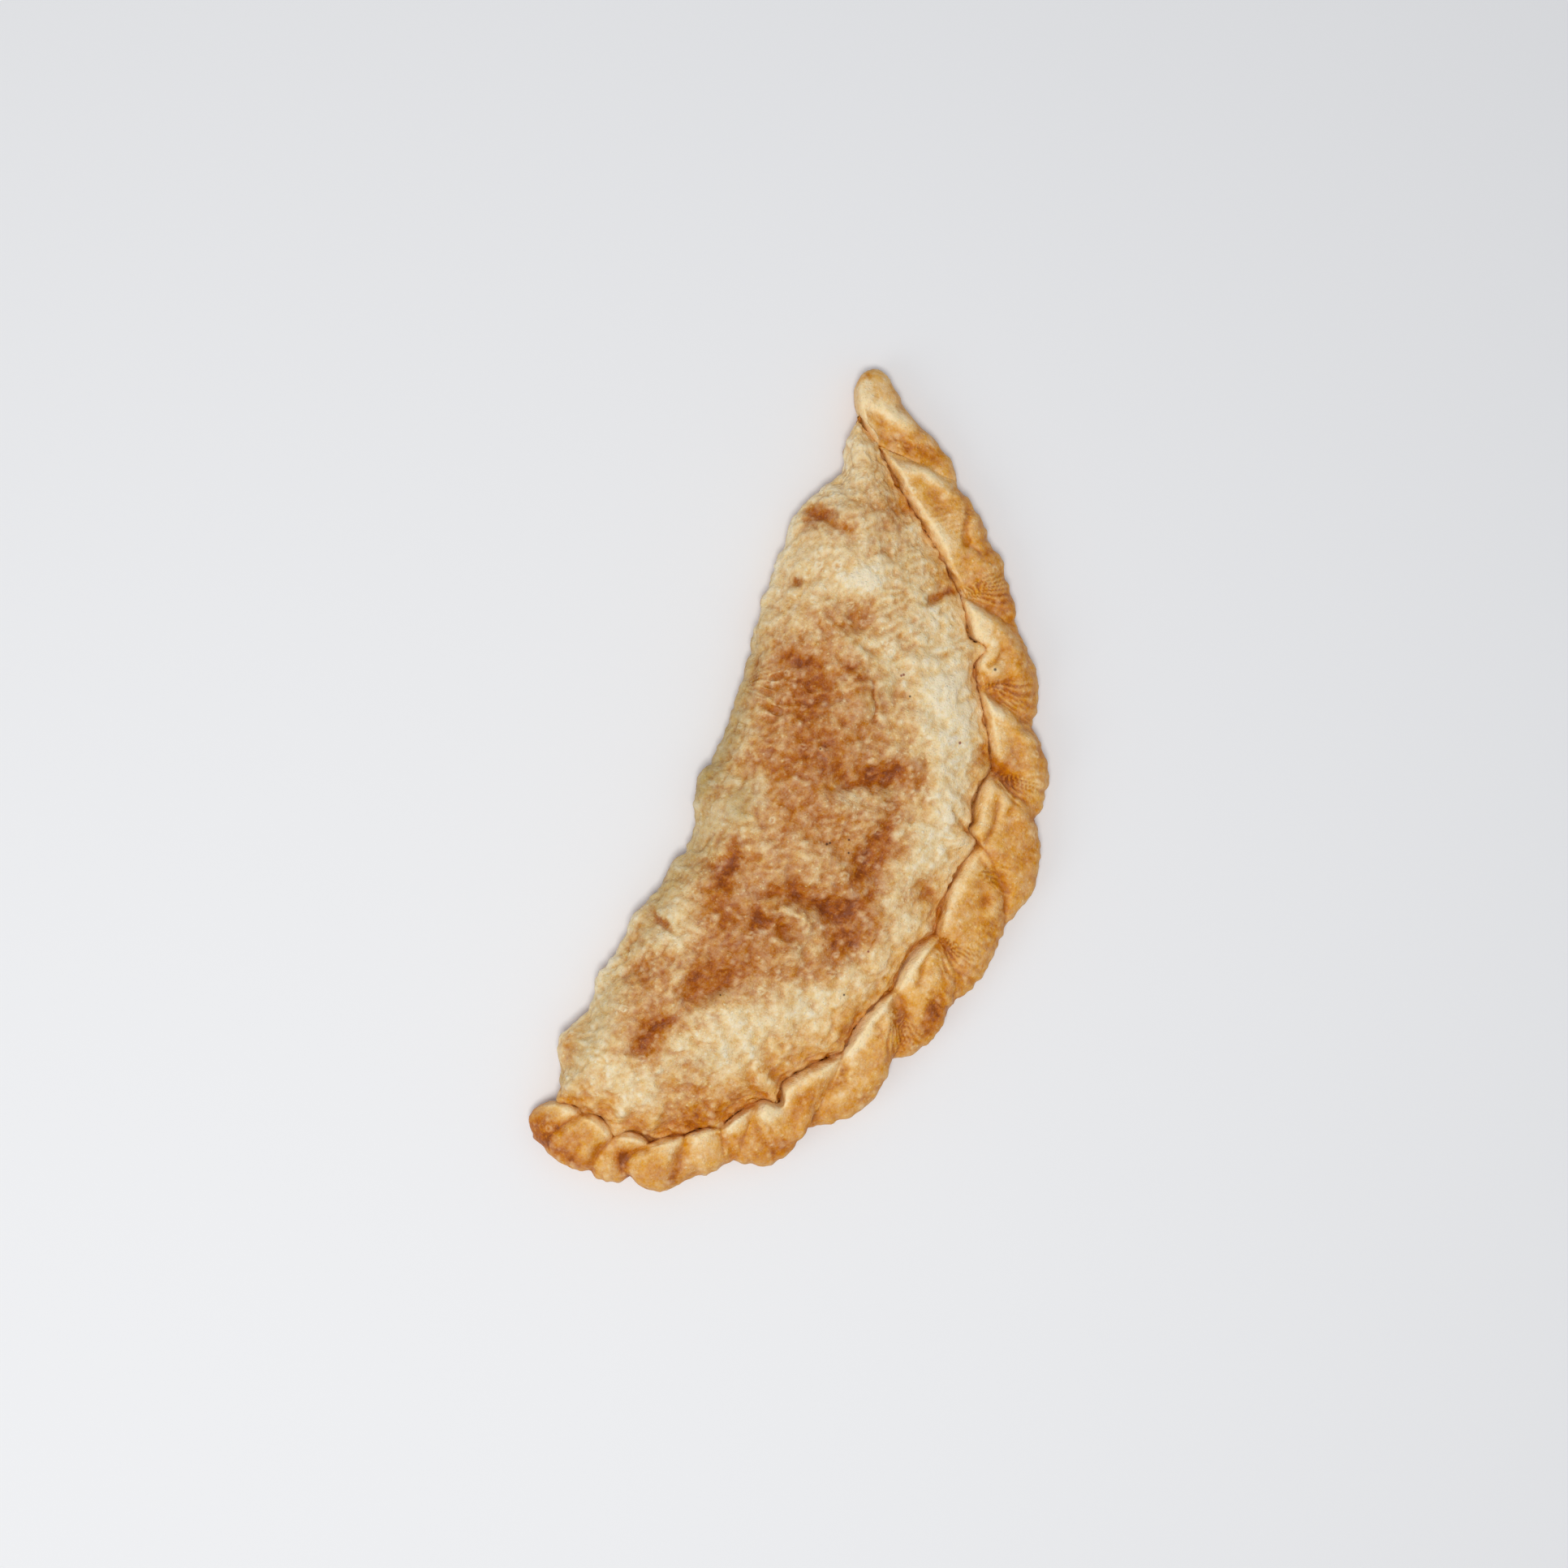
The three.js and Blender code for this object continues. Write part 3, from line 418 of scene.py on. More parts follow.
def fansAt(fans, x, y):
    rise = np.zeros(x.shape)
    for atX, atY, toward, spread, reach, lines, height in fans:
        r = np.hypot(x - atX, y - atY)
        turn = np.degrees(np.arctan2(y - atY, x - atX)) - toward
        turn = (turn + 180) % 360 - 180
        share = turn / spread
        sway = strokes["fanSway"] * np.sin(r * strokes["fanSwayTurn"])
        uneven = strokes["fanUneven"] * np.sin(strokes["fanBeats"] * share + atX)
        wave = np.sin(2 * np.pi * (lines * share + sway + uneven))
        window = smoothBetween(0.5 - np.abs(share), 0, strokes["fanSides"])
        begun = smoothBetween(r, *strokes["fanStart"])
        ended = smoothBetween(r, reach * strokes["fanFade"], reach)
        rise += height * wave * window * begun * (1 - ended)
    return rise


def ripplesAt(ripples, x, y):
    at = np.stack([x, y], -1)
    bend = strokes["rippleBend"] * noiseAt(at, strokes["rippleBendSize"], 51)
    swing = strokes["rippleSwing"] * noiseAt(at, strokes["rippleSwingSize"], 52)
    rise = np.zeros(x.shape)
    for atX, atY, reachAlong, reachAcross, turn, wave, height in ripples:
        c, s = math.cos(math.radians(turn)), math.sin(math.radians(turn))
        a = (x - atX) * c + (y - atY) * s
        b = -(x - atX) * s + (y - atY) * c
        rise += (height * (strokes["rippleLeast"] + swing) * np.sin(2 * np.pi * (a / wave + bend))
                 * np.exp(-(a / reachAlong) ** 2 - (b / reachAcross) ** 2))
    return rise


# Height of a pleat as a share, across it q runs from the seam (0) to the outer side (1).
def pleatLift(k, u, q):
    tucked = mix(rope["dip"], rope["rimDip"], smoothBetween(q, *rope["dipAcross"]))
    climb = roundedRise(u * pleat["length"][k], pleat["climb"][k], rope["climbRound"])
    fall = roundedRise((1 - u) * pleat["length"][k], pleat["fall"][k], rope["fallRound"])
    rises = mix(pleat["rise"][k], between("rise", k, 1.0), smoothBetween(u, rope["handOver"], 1.0))
    lift = mix(tucked, 1, climb * fall) * rises
    return np.where(k == 0, mix(tucked, 1, fall) * rises, lift)


def ropeProfile(k, u, q, along):
    across = (roundedRise(q, rope["seamEdge"]) * roundedRise(1 - q, rope["rimEdge"])
              * (1 - rope["rimLower"] * q))
    hollow = (rope["hollow"] * np.clip(pleat["length"][k] / rope["hollowPleat"], 0, 1) * swell(u)
              * np.exp(-((q - rope["hollowAt"]) / rope["hollowReach"]) ** 2))
    tucked = rope["tuckDip"] * mix(tuckDepth("seam", along), tuckDepth("outer", along), q)
    return (rope["height"] - rope["waist"] - tucked) * across * pleatLift(k, u, q) - hollow


def ropeRings():
    ks, us = [], []
    for k, length in enumerate(pleat["length"]):
        steps = max(rope["leastSteps"], round(length / rope["step"]))
        run = np.arange(steps) / steps
        ks.append(np.full(steps, k))
        us.append((1 - np.cos(np.pi * np.arange(steps) / steps)) / 2 if k == 0 else run)
    ks.append([len(pleat["length"]) - 1])
    us.append([1.0])
    return np.concatenate(ks)[:, None], np.concatenate(us)[:, None]


def ropeSkin():
    k, u = ropeRings()
    top = np.linspace(0, np.pi, rope["topCorners"], endpoint=False)
    under = np.linspace(np.pi, 2 * np.pi, rope["soleCorners"], endpoint=False)
    angle = np.concatenate([top, under])[None, ::-1]
    q = 0.5 - 0.5 * np.cos(angle)
    q = np.where(angle <= np.pi, mix(q, angle / np.pi, rope["evenCorners"]), q)
    lag = mix(pleat["lag"][k], atNextStart("lag", k), u)
    bow = mix(pleat["bow"][k], atNextStart("bow", k), u)
    along = pleatStarts[k] + u * pleat["length"][k] + q * lag + np.sin(np.pi * q) * bow
    s = np.clip(along * seamScale, 0, ropeCurve["length"])
    fill = endFill(s)
    rough = rope["roughRim"] * noiseAt(np.stack([s, np.full(s.shape, 3.0)], -1), rope["roughSize"], 71)
    offset = mix(seamOffset(k, u, along), rough - outerOffset(k, u, along), q) * fill
    place = onCurve(ropeCurve, "at", s) - onCurve(ropeCurve, "left", s) * offset[..., None]
    x, y = place[..., 0], place[..., 1]
    seenX, seenY = asSeen(x, y, rope["waist"] + ropeProfile(k, u, q, along) * fill)
    wx, wy = wandered(seenX, seenY, wander["ropeShare"])
    relief = (lumpsAt(rope["lumps"], wx, wy) + foldsAt(rope["folds"], wx, wy)
              + linesAt(rope["lines"], wx, wy) + fansAt(rope["fans"], seenX, seenY)
              + ripplesAt(rope["ripples"], seenX, seenY))
    seamSide, rimSide = rope["reliefEdges"]
    relief *= roundedRise(q, seamSide) * roundedRise(1 - q, rimSide)
    upper = rope["waist"] + (ropeProfile(k, u, q, along) + relief) * fill
    ball = roundedRise(np.minimum(q, 1 - q), rope["ballEdge"])
    lower = rope["waist"] - (rope["waist"] - rope["floor"]) * ball * fill
    z = np.where(angle <= np.pi, np.maximum(upper, rope["waist"] - rope["belowWaist"]), lower)
    return np.stack([x, y, z], -1)


def bodyHeights(x, y):
    toFold = np.abs(nearestOn(foldCurve, x, y)[0])
    toRope, s = nearestOn(ropeCurve, x, y)
    toSeam = np.abs(toRope) - seamOffsetAt(s)
    climb = (roundedRise(toFold, body["foldReach"])
             * roundedRise(toSeam, body["seamReach"], body["seamPower"]))
    across = toFold / (toFold + np.maximum(0, toSeam) + 0.01)
    crown = (body["height"] * (1 - body["endDrop"] * (x / rope["route"][0][0]) ** 2)
             * (1 - body["foldDrop"] * np.maximum(0, 1 - 2 * across) ** body["foldPower"])
             * (1 - body["seamDrop"] * across ** body["seamSlope"]))
    edge = mix(mix(*body["seamLevels"], smoothBetween(x, *body["levelsAt"])), body["waist"],
               np.clip(toSeam / body["seamReach"], 0, 1))
    tucked = mix(*body["tuckedUnder"], smoothBetween(x, *body["tuckedAt"]))
    edge = edge - tucked * smoothBetween(-toSeam, *body["tuckedReach"])
    seenX, seenY = asSeen(x, y, mix(edge, crown, climb))
    wx, wy = wandered(seenX, seenY)
    relief = ((lumpsAt(body["lumps"], wx, wy) + linesAt(body["lines"], wx, wy)) * body["reliefShare"]
              + fansAt(body["fans"], seenX, seenY) + ripplesAt(body["ripples"], seenX, seenY))
    sole = (body["waist"] * (1 - roundedRise(toFold, body["soleRound"]))
            + body["undercut"] * (1 - roundedRise(toSeam + body["soleEdge"], body["soleRound"])))
    return edge + (crown + relief - edge) * climb, sole


def bodySkin():
    t = np.linspace(0, 1, body["ribs"] + 1)
    s = mix(ropeCurve["length"] - body["endGap"], body["endGap"], t)
    fold = onCurve(foldCurve, "at", mix(*body["foldSpan"], t) * foldCurve["length"])
    end = onCurve(ropeCurve, "at", s)
    wide = np.linalg.norm(fold - end, axis=1)
    seamShare = np.maximum(body["leastWide"], 1 - (seamOffsetAt(s) - body["underRope"]) / wide)

    def places(steps, crowding):
        i = np.arange(steps + 1) / steps
        share = mix(i, (1 - np.cos(np.pi * i)) / 2, crowding)[None] * seamShare[:, None]
        share = np.hstack([share, np.ones((len(t), 1))])
        return fold[:, None] + (end - fold)[:, None] * share[..., None]

    over = places(body["topSteps"], body["crowding"])
    under = places(body["soleSteps"], 1.0)[:, :0:-1]
    top, _ = bodyHeights(over[..., 0], over[..., 1])
    top[:, 0] = body["waist"]
    _, sole = bodyHeights(under[..., 0], under[..., 1])
    return np.concatenate([np.dstack([over, top]), np.dstack([under, sole])], 1)


def skinMesh(name, rings):
    # closed skin through rows of rings, with a fan over each end
    rows, sides = rings.shape[:2]
    points = np.vstack([rings.reshape(-1, 3), rings[0].mean(0), rings[-1].mean(0)]) * mm
    r, i = np.meshgrid(np.arange(rows - 1), np.arange(sides), indexing="ij")
    a = (r * sides + i).ravel()
    b = (r * sides + (i + 1) % sides).ravel()
    faces = np.stack([a, b, b + sides, a + sides], 1).tolist()
    ring = np.arange(sides)
    after = (ring + 1) % sides
    last = (rows - 1) * sides
    faces += [[int(v), int(w), rows * sides] for v, w in zip(after, ring)]
    faces += [[int(last + w), int(last + v), rows * sides + 1] for v, w in zip(after, ring)]
    mesh = bpy.data.meshes.new(name)
    mesh.from_pydata(points.tolist(), [], faces)
    mesh.update()
    piece = bpy.data.objects.new(name, mesh)
    bpy.context.scene.collection.objects.link(piece)
    return piece


def markSkin(piece, value):
    flag = piece.data.attributes.new("onRope", "FLOAT", "POINT")
    flag.data.foreach_set("value", np.full(len(piece.data.vertices), value, np.float32))


def joined(base, added, name):
    union = base.modifiers.new("union", "BOOLEAN")
    union.operation = "UNION"
    union.solver = "MANIFOLD"
    union.object = added
    depsgraph = bpy.context.evaluated_depsgraph_get()
    mesh = bpy.data.meshes.new_from_object(base.evaluated_get(depsgraph))
    mesh.name = name
    for old in (base, added):
        bpy.data.objects.remove(old)
    piece = bpy.data.objects.new(name, mesh)
    bpy.context.scene.collection.objects.link(piece)
    return piece


ropePiece = skinMesh("pleatedRope", ropeSkin())
bodyPiece = skinMesh("filledHalfMoon", bodySkin())
markSkin(ropePiece, 1.0)
markSkin(bodyPiece, 0.0)
print("khuushuur: rope", len(ropePiece.data.vertices), "points, body", len(bodyPiece.data.vertices))
pasty = joined(bodyPiece, ropePiece, "friedPasty")
print("khuushuur: joined,", len(pasty.data.vertices), "points,", [a.name for a in pasty.data.attributes])


# Small blisters under the skin: x, y, radius, height, and 1 for one that has burst into a ring.
blisters = [
    (48, 31.8, 1, 0.3, 1), (49.4, 28.1, 1.3, 0.3, 1), (40.6, 29.6, 0.9, 0.22, 1),
    (43, 21.9, 0.9, 0.28, 1), (39.6, 20.6, 0.8, 0.25, 0), (37.6, 24.2, 0.7, 0.25, 0),
    (33.6, 25.3, 0.7, 0.22, 0), (49.6, 18.5, 0.9, 0.28, 1), (40.8, 17.8, 0.9, 0.22, 1),
    (45, 25, 0.6, 0.22, 0), (58.7, 11.5, 0.8, 0.25, 1), (55.4, 20.6, 0.7, 0.22, 1),
    (52.2, 23.1, 0.7, 0.26, 0), (59.3, 18.5, 0.8, 0.24, 0), (63.8, 17, 0.7, 0.22, 0),
    (37.4, 9.5, 1.1, 0.22, 1), (51.3, 7.8, 1.2, 0.3, 1), (1, -3.8, 1.1, 0.28, 1), (7, -4.2, 1, 0.26, 1),
    (5.2, -6.6, 1.1, 0.24, 1), (1.6, -7.6, 1.5, 0.24, 0), (-10.6, -1.2, 1.2, 0.22, 1),
    (-4.2, -3.8, 0.9, 0.22, 1), (-11.8, -6.6, 1, 0.24, 0), (-13.6, -4, 1.7, 0.18, 0),
    (-16.8, -7.8, 1.2, 0.26, 0), (-18.2, -10.8, 1.4, 0.2, 0), (-12.2, -11.9, 1.4, 0.28, 0),
    (-24, -6.7, 0.9, 0.2, 0), (-26.8, -9.2, 0.9, 0.22, 0), (-30.2, -6.4, 0.8, 0.2, 0),
    (-40.7, 4.8, 1.1, 0.24, 1), (-35.4, 3.2, 0.8, 0.26, 0), (-41, 10.8, 1.2, 0.2, 0),
    (-30.2, 20.6, 1.3, 0.24, 0), (-13, 22.9, 0.9, 0.26, 0), (-1.2, 24.2, 0.9, 0.24, 0),
    (-46.2, -12.4, 0.9, 0.24, 0), (3.2, -18.2, 1.3, 0.3, 0), (7.6, -17.2, 0.9, 0.28, 0),
    (-0.8, -13.4, 1, 0.22, 0), (11, -17, 0.8, 0.22, 0), (-76.8, 31.4, 1.2, 0.22, 0),
    (-65.2, 31, 1.2, 0.22, 0), (-49.4, 34.4, 1.2, 0.24, 0), (-71.6, -1.6, 0.8, 0.25, 1),
    (-6.8, 4.4, 0.6, 0.2, 0), (-3, 6, 0.7, 0.22, 0), (-10.4, 34.2, 1.2, 0.26, 0),
    (30.2, 38.6, 1, 0.24, 0), (0, 0.6, 0.9, 0.22, 0), (3.6, 0.2, 0.9, 0.2, 0),
]
# Besides them many more lie at random, mostly small ones, and some have burst: a ring round a dip.
surface = {
    "blisters": 1900, "radius": (0.40, 0.95), "height": (0.10, 0.28), "mostlySmall": 2.2,
    "alongX": (-93, 93), "alongY": (-40, 41), "uneven": (0.6, 1.2), "burstShare": 0.12,
    "domeEdge": 1.5, "ringAt": 0.62, "ringReach": 0.22, "ringDip": 0.3, "ringDipReach": 0.3,
    "whiteFrom": 0.22, "ropeBlisters": 0.6,
    "lumpSizes": (9.0, 4.2, 2.0, 1.05), "lumpHeights": (0.46, 0.42, 0.27, 0.13), "lumpScale": 1.6,
    "creaseSizes": (6.5, 3.4), "creaseDepths": (0.30, 0.20), "creaseWidth": 0.11,
    "creaseBend": 0.3, "creaseBendSize": 0.6, "creaseSomeSize": 2, "creaseSome": (-0.25, 0.25),
    "ropeShare": 0.42, "topSlope": 0.1, "nearTable": (0.02, 1.5),
    "bubbleDeep": 4, "bubbleEdge": 1.6,
}

# How far each place has fried, on top of an even pale gold: x, y, reach along, reach across,
# turn, amount. Cream is about 0, gold 0.4, tan 0.6 and dark brown 1.
bodyBrowning = {
    "even": 0.20, "softness": 1.05,
    "zone": [  # the middle, which lay deepest in the oil
        (-65, 27), (-64, 20.5), (-57, 17), (-50, 12.5), (-43, 7), (-38, 1), (-34, -5), (-29, -10),
        (-21, -13.5), (-11, -11.5), (0, -10.5), (9, -8.5), (17, -6), (20, 1), (26, 5.5), (32, 9.5),
        (35, 15), (43, 15.5), (46, 22), (42, 29), (34, 28), (30, 33), (21, 33), (9, 31.5), (1, 28.5),
        (-1, 22), (-8, 20), (-14, 26.5), (-27, 28), (-36, 24.5), (-45, 24), (-55, 27),
    ],
    "zoneRise": 0.37, "zoneEdge": (-5.0, 4.5), "zoneWander": 2.4, "zoneWanderSize": 3.0,
    # Gold along the seam, at the tip and at the knob: uneven, and narrower towards the folded side.
    "band": (0.15, 0.34), "bandReach": (2.2, 7.5), "bandGrows": (-10, 60), "bandThins": 0.5,
    "bandThinsAt": (10, 22), "bandUneven": 0.5, "bandUnevenSize": 6.0,
    "patches": [
        (-22.5, 23, 8.4, 3.4, 8, 0.24), (-19, 21.8, 3.6, 2.2, 10, 0.12),
        (-41.8, 16.8, 7.2, 2.5, -38, 0.28), (-43.6, 18.6, 2.8, 1.8, -30, 0.12),
        (-25.6, 11.4, 3.4, 5, 14, 0.32), (-17.6, 6, 3, 7, 3, 0.18), (-11.6, 8, 3, 5, 3, -0.1),
        (-21.8, 6, 1.6, 4.4, -16, -0.14), (-19, -2.4, 3.8, 4, 20, 0.16),
        (-26.4, -2.6, 4.6, 2.4, -14, -0.32), (-23.5, -7, 9.6, 4.6, -26, 0.26),
        (-3.8, -4.8, 11, 3.4, -2, 0.25), (-38, 9, 5, 4, -40, 0.1), (-31.5, 17, 6, 3.6, 30, 0.14),
        (-14.6, -2.6, 3.4, 3.4, 0, 0.14), (-12.5, 17.5, 3.6, 3, 30, -0.06), (4, 12, 9, 6.5, 0, 0.1),
        (4, 24.5, 7, 4.5, 10, 0.12), (13.4, 0.6, 6.6, 3, -58, 0.22), (14.8, -5.6, 3.6, 3.6, -40, 0.26),
        (11, 12, 6, 5, 0, 0.16), (24.7, 11.7, 6, 4.6, 0, 0.06), (24.5, 27.5, 8, 5, 20, 0.18),
        (20.5, 21.5, 6, 4, 10, 0.16), (27.6, 26.2, 2.6, 4.8, 0, 0.1), (19, 30, 3.4, 2.4, 20, -0.08),
        (30.2, 15.2, 2, 5.4, -14, 0.2), (14, 20, 5, 4, 0, 0.08), (43, 18.6, 3.4, 2.8, -40, 0.13),
        (42, 25, 2.6, 3.4, 0, -0.08), (56, 14, 7, 4.4, 45, 0.12), (62, 28, 6, 4, 0, 0.08),
        (65.4, 22.6, 6.6, 4.8, 35, 0.34), (68.6, 20.4, 2.8, 2.4, 60, 0.18),
        (58.4, 35.2, 2.6, 4.4, -12, 0.4), (56, 37.4, 3.8, 1.8, 30, 0.22),
        (42.4, 35.4, 2.2, 1.6, 40, 0.28), (36, 35, 14, 4, 8, 0.12), (-59, 24, 6, 4.2, -14, 0.2),
        (-55, 19.6, 3.6, 1.6, -35, 0.18), (-63, 8, 3.4, 8, -10, 0.14), (-52, 30, 10, 3.6, 0, 0.2),
        (-58.4, 24, 4, 3, 0, 0.08), (-45, 22.6, 3.6, 1.6, -10, -0.08), (12, -4, 2.2, 1.8, 0, -0.16),
        (-66.5, 12.6, 5.2, 5, 0, 0.22), (-72, 7.4, 6.4, 5.4, -40, 0.26), (-68, 1.6, 6, 2.6, -38, 0.1),
        (-39.5, -15.4, 6, 1.6, -6, 0.16), (-7.6, -18.4, 4.2, 3, -10, 0.34),
        (-1.5, -12.6, 2, 2.2, 0, 0.2), (8.2, -20, 2, 3.8, 0, 0.14), (25.6, -18, 5.2, 2.2, 16, 0.42),
        (33, -14.4, 4.6, 2, 40, -0.1), (39, -9.8, 3.6, 1.5, 0, 0.2), (45.2, -7, 2.6, 2.6, 0, 0.36),
        (42, -1.6, 3.4, 1, -42, 0.18), (53.4, 4.6, 3.6, 1.7, -50, 0.36),
        (57.5, 7.4, 5.6, 2.2, 46, 0.24), (63.4, 13, 5, 2.6, 54, -0.12), (53.5, 27.5, 3, 1.6, 30, 0.12),
        (60, 30, 4.4, 1.8, 0, 0.16), (70.5, 30, 6, 3.4, 0, 0.1), (75.5, 27, 3, 4, 0, -0.12),
        (78, 34.6, 7, 3, 0, 0.02), (-35.4, 31, 1.4, 2.2, -20, 0.34), (-50, 31, 2.4, 4, 15, 0.04),
        (-42, 35, 6, 1.6, 0, 0.2), (-5.4, 30, 2.8, 2.2, 0, 0.24), (-56, 10, 3.4, 2, -40, 0.12),
        (-75, 31, 4, 3, 0, 0.14), (-66, 34, 7, 2.4, 0, -0.04), (36, 3, 9, 1.8, 24, 0.14),
        (28.5, 3, 5, 1.8, 20, 0.16), (47, 12, 8, 2.6, 30, 0.14), (50.4, 21.8, 4.4, 5, 0, -0.22),
        (35, -7, 10, 6, 28, -0.16), (-54, 6, 10, 3.6, -42, -0.02), (-52, -2.6, 8, 2.6, -18, 0.1),
        (-75, 27, 4.6, 4, 0, 0.12), (-76, 17, 3.4, 3, 0, 0.16), (-45, 28, 5.5, 4, 0, 0.3),
        (20, -12, 10, 2.4, 10, -0.04), (14, -9.4, 4, 2.6, 0, 0.2), (7, 5, 2.6, 6, 0, -0.24),
        (2, -15.5, 5, 2.4, 0, -0.08), (25, -2, 4.4, 3.6, 0, 0.2), (-18, -14.5, 9, 3, 0, 0.1),
        (-5, -20.5, 9, 2, 4, 0.12), (33, 30.5, 5, 3, 0, 0.12), (55, 23, 3.4, 3.4, 0, 0.2),
        (49, 30, 3.4, 3.6, 0, 0.14), (40, 10, 4, 3, 40, 0.1), (-5, 17.5, 4, 3, 0, 0.1),
        (33, 21, 3.4, 3.4, 0, -0.12), (-33, 11, 4, 3.4, 0, 0.08), (-69, 38, 5, 2.6, 0, 0.36),
        (-50, 20, 4, 2.4, 0, -0.08), (0, 34.5, 24, 2.6, 1, 0.12), (-6, 26, 5, 4, 0, 0.1),
        (9, 17, 6, 4, 0, 0.12), (58.4, 35.4, 3, 4, -12, 0.14), (24, 37.5, 12, 1.8, 9, 0.14),
        (-27, 34, 14, 2.2, -5, 0.14),
    ],
}
# On the rope the paler lips along the seam, from the lip term and from pale patches such as the one at
# (-41.6, -17.8), are painted light that these lips catch.
ropeBrowning = {
    "even": 0.48, "patchShare": 0.72, "lip": -0.24, "lipAt": 1.4, "lipReach": 2.1, "lipFull": 0.7,
    "rim": 0.14, "rimFrom": 6.5, "rimTo": 12,
    "patches": [
        (85.6, 31, 2, 4.6, -10, -0.9), (88.6, 36, 3.4, 3, 0, -0.08), (82.6, 33.4, 1.2, 2.6, 20, 0.1),
        (80.6, 23.6, 2, 5, -6, 0.18), (90.4, 40, 1.5, 0.9, -30, 0.55), (76.4, 22, 1.5, 5.4, 4, -0.26),
        (76.4, 16, 2.2, 4, 0, -0.5), (79, 26, 1.4, 3, 0, 0.14), (70.2, 15.4, 2, 3.2, 10, 0.18),
        (66.4, 5.8, 3, 2.4, 50, -0.24), (72.4, 21.4, 1.3, 3, -20, 0.06),
        (65.4, 10.6, 2.2, 2.6, 50, -0.32), (61.6, 4.6, 3.4, 2.6, 50, 0.14),
        (65.6, 0.4, 2.2, 4, -20, 0.16), (58.6, -4.6, 2.8, 6.8, 4, 0.24), (57, -10, 4, 2.4, 30, 0.14),
        (53.2, -4.2, 5.6, 2.2, 62, -0.5), (49.4, -9, 2.4, 2.2, 0, -0.14),
        (47.6, -16, 4.4, 2.2, 40, 0.14), (43.4, -12, 1.4, 0.9, 0, -0.2),
        (40.6, -16.4, 2.6, 5.4, 0, 0.36), (44, -20.6, 4, 1.6, 30, 0.08),
        (36.4, -16.6, 1.5, 5.6, -16, -0.26), (33.4, -20, 2.8, 2.4, 0, -0.14),
        (36.6, -22, 1, 2.4, -30, 0.1), (26.8, -22, 2.2, 2.4, 0, 0.12), (30.2, -27, 3, 3, 0, -0.06),
        (24, -22.8, 2.4, 5, -10, 0.44), (31.6, -30.6, 3, 1.6, 30, 0.1), (14, -23, 5, 2, 6, 0.16),
        (27.6, -24.4, 3, 2.6, 0, 0.18), (24, -32, 4, 1.6, 20, -0.3), (18.6, -27, 2, 1.2, 20, -0.2),
        (7.2, -30.6, 1.8, 3.4, 10, 0.24), (13.4, -30.8, 2.6, 2.6, 0, -0.06),
        (2, -31, 1.5, 3.4, 0, 0.06), (5.2, -36.6, 3, 1.8, 0, -0.1), (-3.2, -31.8, 1.6, 1.7, 0, 0.22),
        (-4.6, -34.6, 1.7, 1.9, -30, -0.26), (-8.8, -29.8, 3.4, 1.6, -30, -0.18),
        (-7, -34.4, 1.4, 2, 0, 0.12), (-12.6, -33, 3, 2.4, 0, -0.04), (-16, -28.6, 1.4, 3, 20, 0.2),
        (-20.6, -33.6, 3.6, 1.4, -20, 0.12), (-25.4, -27.4, 3.6, 1.4, -12, -0.16),
        (-23, -22, 6.4, 1.6, -4, -0.8), (-10, -29, 5, 3, 0, 0.18), (-16, -35, 4, 1.6, -20, -0.2),
        (-21, -31, 2.4, 2, 30, 0.06), (-30.6, -31.6, 4.4, 2.2, 8, 0.5), (-27.6, -35, 5, 1, -10, 0.1),
        (-34.4, -26, 3, 1.6, 20, 0.22), (-38.6, -29.4, 3.4, 1.6, 0, 0.1),
        (-41.6, -17.8, 6.6, 2.4, -6, -0.95), (-42, -25, 4, 1.8, 0, 0.16), (-58, -13, 4, 2, -20, 0.12),
        (-46.4, -23.2, 2.4, 1.4, -40, -0.24), (-51, -22.4, 3.6, 2.2, -20, -0.06),
        (-50.4, -19, 2.2, 0.8, 0, 0.2), (-57.6, -14.6, 6.4, 1.5, -14, 0.2),
        (-50.4, -16, 2.2, 1, -40, -0.1), (-64.4, -6.4, 2.6, 2.4, -30, -0.4),
        (-62.8, -8.2, 2.8, 2.4, -20, -0.6), (-70.4, -12.4, 2.2, 3.8, 10, 0.22),
        (-65.4, -17, 2.2, 1.4, -30, 0.22), (-69.4, 0, 3, 2, -30, -0.34),
        (-72.4, -5, 2.6, 1.6, -20, 0.2), (-78.8, 2.8, 3.4, 2, -34, -0.14),
        (-82, 9.4, 3.2, 1.8, -45, -0.14), (-87, 9.6, 1.6, 2.6, 0, 0.16), (-85, 5.6, 3, 0.8, 8, 0.16),
        (-77, -4.8, 2.2, 0.8, 10, 0.24), (-86.2, 17.6, 2.4, 1.5, 16, 0.8),
        (-87.4, 21, 2.8, 1, -10, -0.12), (-83.6, 26, 2.4, 3.4, 10, -0.12),
        (-83.6, 33, 1.8, 3.6, 10, -0.1), (-90.6, 31.6, 1.6, 6, 0, 0.3), (-91.2, 26.6, 1.2, 2, 0, 0.3),
        (-87.4, 36, 5, 5, 0, 0.56), (-85, 26, 5, 5, 0, 0.24), (-84, 9, 6, 5, -45, 0.22),
        (-73, -9, 5, 4, -45, 0.12),
    ],
}
